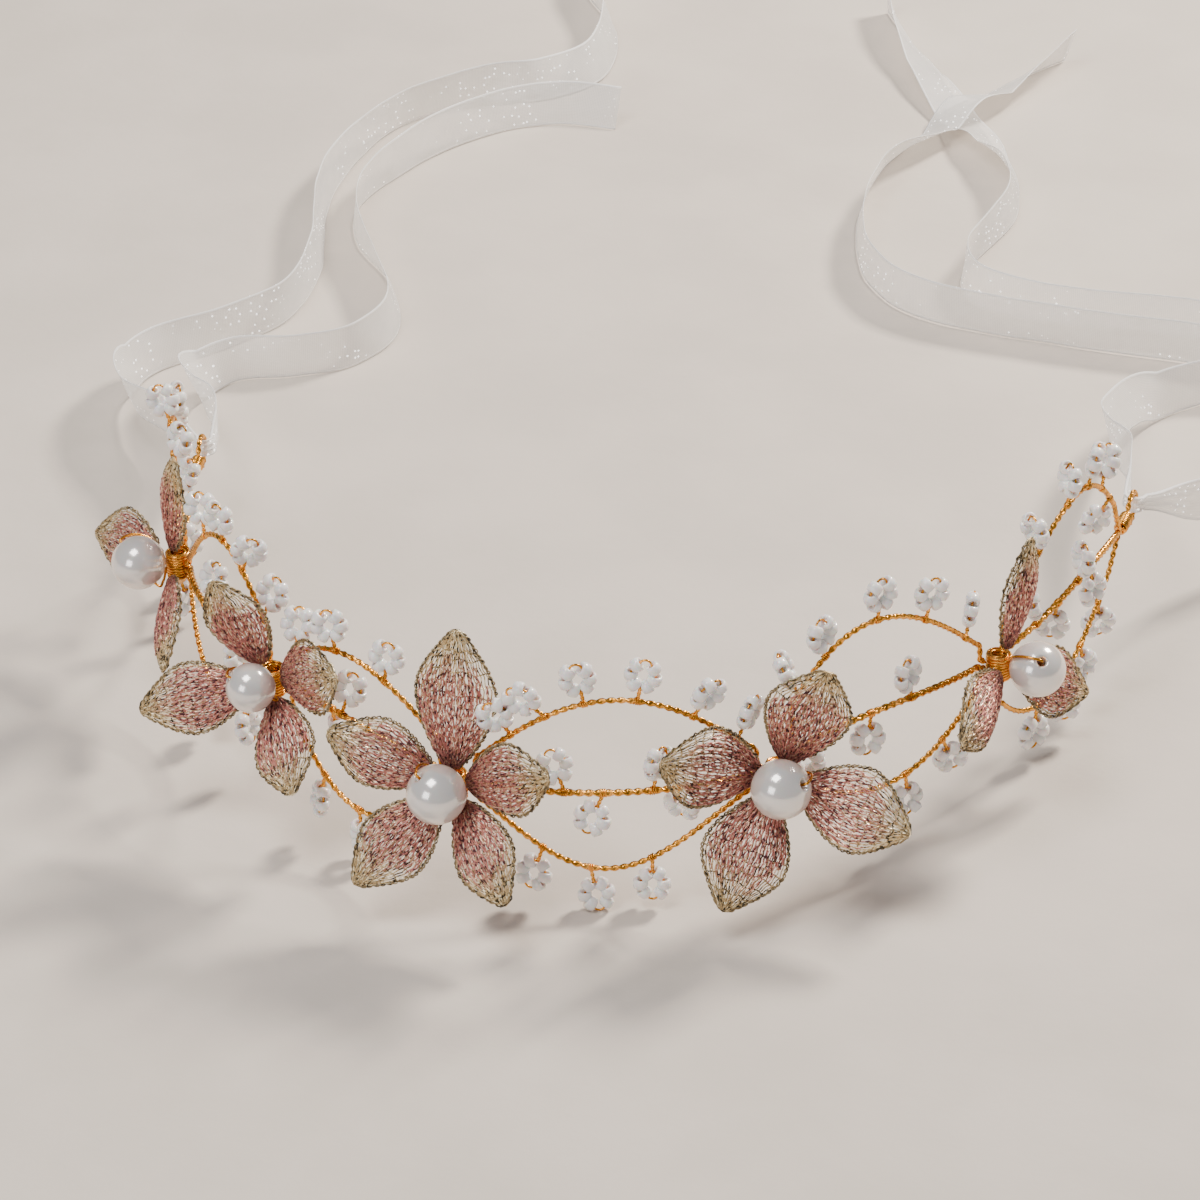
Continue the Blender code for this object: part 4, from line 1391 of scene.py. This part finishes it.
def sprig_wires(number, strand, sprig, wire, profile, draws):
    """A sprig's twisted stem, its wrap round the vine and the wire of its bead loop."""
    foot, direction, across, centre = sprig_frame(number, strand, sprig)
    stem_ends = [foot - direction * STEM_SINK, loop_point(across, direction, centre, -90.0)]
    stem = swept(line_from(even_steps(stem_ends, STEM_STEP)), profile=profile, pitch=STEM_PITCH,
                 start_turn=draws.uniform(0.0, ANY_TWIST))
    share = sprig[0]
    before = vine_point(number, strand, share - NEAR_BY)
    tangent = (vine_point(number, strand, share + NEAR_BY) - before).normalized()
    wrap = wound_coil(foot, tangent, VINE_RADIUS[strand], STEM_WRAP, WRAP_WIRE * wire,
                      draws.uniform(0.0, ANY_WRAP))
    arch = [loop_point(across, direction, centre, angle, swell) for angle, swell in LOOP_WIRE]
    loop = swept(line_from(even_steps(smooth_route(arch), BEAD_LOOP_STEP)), FINE_WIRE * wire)
    return [stem, wrap, loop]


class CROWN_OT_vines(bpy.types.Operator):
    """Twists the wires of the vines, the stems and the loops that carry the beads"""

    bl_idname = "crown.vines"
    bl_label = "Vines"

    def execute(self, context):
        sizes = context.scene.crown_sizes
        gilt = finish_named("lacquered_gilt", gilt_finish)
        wire = sizes.wire / MM
        pitch = sizes.twist_pitch / MM
        heavy = profile_of_two(HEAVY_WIRE * wire)
        light = profile_of_two(wire)
        fine = profile_of_two(FINE_WIRE * wire)
        for number, span in enumerate(SPANS):
            for strand in STRANDS:
                draws = random.Random(31 * number + len(strand))
                line = line_from(even_steps(vine_route(number, strand), pitch / TWIST_STEPS))
                profile = heavy if strand == "middle" else light
                start_turn = draws.uniform(0.0, ANY_TWIST)
                parts = [swept(line, profile=profile, pitch=pitch, start_turn=start_turn)]
                for sprig in span[strand][3]:
                    parts += sprig_wires(number, strand, sprig, wire, fine, draws)
                piece = merged(joined(parts, f"twisted_{strand}_vine_{number}"))
                node = f"span_{number}_{strand}_vine"
                dressed(piece, gilt, SPAN_BODIES[number], node)
        for profile in (heavy, light, fine):
            bpy.data.objects.remove(profile)
        return {"FINISHED"}


def threaded_beads(number, strand, sprig, pattern, draws):
    """Copies of the bead round the sprig's loop, each a little out of place and of size."""
    _, direction, across, centre = sprig_frame(number, strand, sprig)
    normal = direction.cross(across)
    lowest = 0.5 * bpy.context.scene.crown_sizes.bead / MM + FLOOR_GAP
    beads = []
    for degrees in BEAD_PLACES:
        wander = draws.uniform(-BEAD_WANDER, BEAD_WANDER)
        spot = loop_point(across, direction, centre, degrees + wander)
        turn = math.radians(degrees)
        tangent = across * -math.sin(turn) + direction * math.cos(turn)
        tangent = (tangent + normal * draws.uniform(-BEAD_TIP, BEAD_TIP)).normalized()
        spot = spot + normal * draws.uniform(-BEAD_PUSH, BEAD_PUSH)
        spot.z = max(spot.z, lowest)
        bead = pattern.copy()
        bead.data = pattern.data.copy()
        bpy.context.collection.objects.link(bead)
        turned = UP.rotation_difference(tangent).to_matrix().to_4x4()
        size = Matrix.Scale(draws.uniform(*BEAD_SIZES), 4)
        bead.data.transform(Matrix.Translation(spot * MM) @ turned @ size)
        beads.append(bead)
    return beads


class CROWN_OT_beads(bpy.types.Operator):
    """Threads the seed beads on the loops of the sprigs"""

    bl_idname = "crown.beads"
    bl_label = "Seed beads"

    def execute(self, context):
        glass = finish_named("white_glass", bead_finish)
        pattern = rounded_bead(context.scene.crown_sizes)
        draws = random.Random(7)
        for number, span in enumerate(SPANS):
            for strand in STRANDS:
                copies = []
                for sprig in span[strand][3]:
                    copies += threaded_beads(number, strand, sprig, pattern, draws)
                piece = joined(copies, f"{strand}_beads_{number}")
                node = f"span_{number}_{strand}_vine"
                dressed(piece, glass, SPAN_BODIES[number], node)
        bpy.data.objects.remove(pattern)
        return {"FINISHED"}


# ---- ribbons --------------------------------------------------------------------------


def ribbon_route(side, step):
    """The strip's middle, its lean fourth, from cut end to cut end, and where its fold lies."""
    _, away, outward = end_frame(side)
    centre = ring_centre(side) + away * END_RING_RADIUS
    fold = []
    for degrees in RIBBON_FOLD_ANGLES:
        turn = math.radians(degrees)
        spot = centre + (away * math.cos(turn) - outward * math.sin(turn)) * RIBBON_FOLD_RADIUS
        fold.append(Vector((*spot, 0.0)))
    out_tail, in_tail = (
        even_steps(smooth_route([end] + [Vector(map(float, spot)) for spot in tail], 12), step)
        for end, tail in zip((fold[0], fold[-1]), TAILS[side])
    )
    route = out_tail[:0:-1] + fold + in_tail[1:]
    return route, len(out_tail) - 1, len(out_tail) - 2 + len(fold)


def ribbon_stations(side, width, step):
    """Middle, width direction, through direction, gathered width and share of the gather."""
    route, first, last = ribbon_route(side, step)
    places = [spot.xyz for spot in route]
    for place, spot in zip(places, route):
        lean = math.radians(spot.w)
        place.z = max(place.z, 0.5 * width * abs(math.cos(lean)) + RIBBON_STANDING)
    from_fold = [0.0] * len(route)
    for index in range(first - 1, -1, -1):
        from_fold[index] = from_fold[index + 1] + (places[index + 1] - places[index]).length
    for index in range(last + 1, len(route)):
        from_fold[index] = from_fold[index - 1] + (places[index] - places[index - 1]).length
    stations = []
    for index, spot in enumerate(route):
        ahead = (places[min(index + 1, len(route) - 1)] - places[max(index - 1, 0)]).normalized()
        flat = ahead.cross(UP).normalized()
        if index > last:
            flat = -flat
        lean = math.radians(spot.w)
        up = (UP * math.cos(lean) + flat * math.sin(lean)).normalized()
        up = (up - ahead * up.dot(ahead)).normalized()
        flare = min(from_fold[index] / RIBBON_FLARE, 1.0)
        eased = flare * flare * (3.0 - 2.0 * flare)
        gathered = RIBBON_PINCH + (width - RIBBON_PINCH) * eased
        places[index].z = max(places[index].z, 0.5 * gathered * abs(up.z) + RIBBON_STANDING)
        stations.append((places[index], up, ahead.cross(up), gathered, 1.0 - eased))
    return stations


def ribbon_length(stations):
    return sum((two[0] - one[0]).length for one, two in zip(stations, stations[1:]))


def lay_ribbon(ribbon, stations):
    """Puts a grid's vertices on the strip's stations, pleated where the strip is gathered."""
    acrosses, runs = [], []
    run = 0.0
    last_place = stations[0][0]
    for row, (place, up, through, gathered, gather) in enumerate(stations):
        run += (place - last_place).length
        last_place = place
        for column in range(RIBBON_COLUMNS):
            share = column / (RIBBON_COLUMNS - 1)
            turn = 2.0 * math.pi * share
            pleat = RIBBON_PLEAT_DEPTH * gather * math.sin(2.0 * math.pi * RIBBON_PLEATS * share)
            ripple = RIBBON_RIPPLE * math.sin(run * RIBBON_RIPPLE_RATE)
            ripple *= math.sin(turn + RIBBON_RIPPLE_DRIFT * run)
            spot = place + up * (gathered * (share - 0.5)) + through * (pleat + ripple)
            ribbon.data.vertices[row * RIBBON_COLUMNS + column].co = spot * MM
            acrosses.append(share)
            runs.append(run)
    numbers_on(ribbon, "across", acrosses)
    numbers_on(ribbon, "run", runs)


class CROWN_OT_ribbons(bpy.types.Operator):
    """Folds a ribbon through each end loop and stands its tails on the floor"""

    bl_idname = "crown.ribbons"
    bl_label = "Ribbons"

    def execute(self, context):
        sizes = context.scene.crown_sizes
        organza = finish_named("sheer_gauze", organza_finish)
        width = round(sizes.ribbon / MM, 3)
        for side in ("left", "right"):
            stations = ribbon_stations(side, width, RIBBON_STEP)
            put_down()
            bpy.ops.mesh.primitive_grid_add(
                x_subdivisions=RIBBON_COLUMNS - 1, y_subdivisions=len(stations) - 1, size=MM,
            )
            ribbon = named(f"organza_ribbon_{side}")
            lay_ribbon(ribbon, stations)
            pick_up(ribbon)
            wall = ribbon.modifiers.new("gauze", "SOLIDIFY")
            wall.thickness = sizes.ribbon_gauze
            wall.offset = 0.0
            bpy.ops.object.modifier_apply(modifier="gauze")
            bpy.ops.object.shade_smooth()
            dressed(ribbon, organza, f"{side}_tails", f"{side}_ribbon")
            ribbon_length(stations) * MM
        return {"FINISHED"}


# ---- stage ----------------------------------------------------------------------------


class CROWN_OT_stage(bpy.types.Operator):
    """Lays the floor, hangs the lights and sets up the camera"""

    bl_idname = "crown.stage"
    bl_label = "Stage"

    def execute(self, context):
        put_down()
        bpy.ops.mesh.primitive_plane_add(size=FLOOR_SIZE)
        floor = named("floor")
        floor.data.materials.append(floor_finish(context.scene.crown_colours))
        world = context.scene.world or bpy.data.worlds.new("sky")
        context.scene.world = world
        world.use_nodes = True
        sky = world.node_tree.nodes["Background"]
        sky.inputs["Color"].default_value = SKY_COLOUR
        sky.inputs["Strength"].default_value = SKY_STRENGTH
        for name, place, size, power, tint in LIGHTS:
            bpy.ops.object.light_add(type="AREA", location=place)
            light = named(name)
            light.data.size = size
            light.data.energy = power
            light.data.color = tint
            aim = Vector(LIGHTS_AIM) - light.location
            light.rotation_euler = aim.to_track_quat("-Z", "Y").to_euler()
        target = Vector(SIGHT_TARGET) * MM
        around, up = math.radians(SIGHT_ROUND), math.radians(SIGHT_UP)
        back = Vector((
            math.sin(around) * math.cos(up), -math.cos(around) * math.cos(up), math.sin(up),
        ))
        bpy.ops.object.camera_add(location=target + back * (SIGHT_DISTANCE * MM))
        camera = named("camera")
        camera.rotation_euler = (-back).to_track_quat("-Z", "Y").to_euler()
        camera.data.sensor_width = SIGHT_SENSOR
        camera.data.lens = SIGHT_LENS
        camera.data.clip_start = SIGHT_NEAR
        context.scene.camera = camera
        return {"FINISHED"}


class CROWN_PT_panel(bpy.types.Panel):
    """Lists the crown's pieces in the sidebar"""

    bl_idname = "CROWN_PT_panel"
    bl_label = "Flower crown"
    bl_space_type = "VIEW_3D"
    bl_region_type = "UI"
    bl_category = "Crown"

    def draw(self, context):
        for maker in MAKERS:
            self.layout.operator(maker.bl_idname)
        for settings in (context.scene.crown_sizes, context.scene.crown_colours):
            box = self.layout.box()
            for name in settings.__annotations__:
                box.prop(settings, name)


MAKERS = (
    CROWN_OT_stage, CROWN_OT_petals, CROWN_OT_pearls, CROWN_OT_bindings,
    CROWN_OT_end_loops, CROWN_OT_vines, CROWN_OT_beads, CROWN_OT_ribbons,
)
CLASSES = (CrownSizes, CrownColours, *MAKERS, CROWN_PT_panel)


def register():
    for each in CLASSES:
        bpy.utils.register_class(each)
    bpy.types.Scene.crown_sizes = bpy.props.PointerProperty(type=CrownSizes)
    bpy.types.Scene.crown_colours = bpy.props.PointerProperty(type=CrownColours)


def unregister():
    del bpy.types.Scene.crown_colours
    del bpy.types.Scene.crown_sizes
    for each in reversed(CLASSES):
        bpy.utils.unregister_class(each)


def main():
    register()
    bpy.ops.crown.stage()
    bpy.ops.crown.petals()
    bpy.ops.crown.pearls()
    bpy.ops.crown.bindings()
    bpy.ops.crown.end_loops()
    bpy.ops.crown.vines()
    bpy.ops.crown.beads()
    bpy.ops.crown.ribbons()


if __name__ == "__main__":
    main()
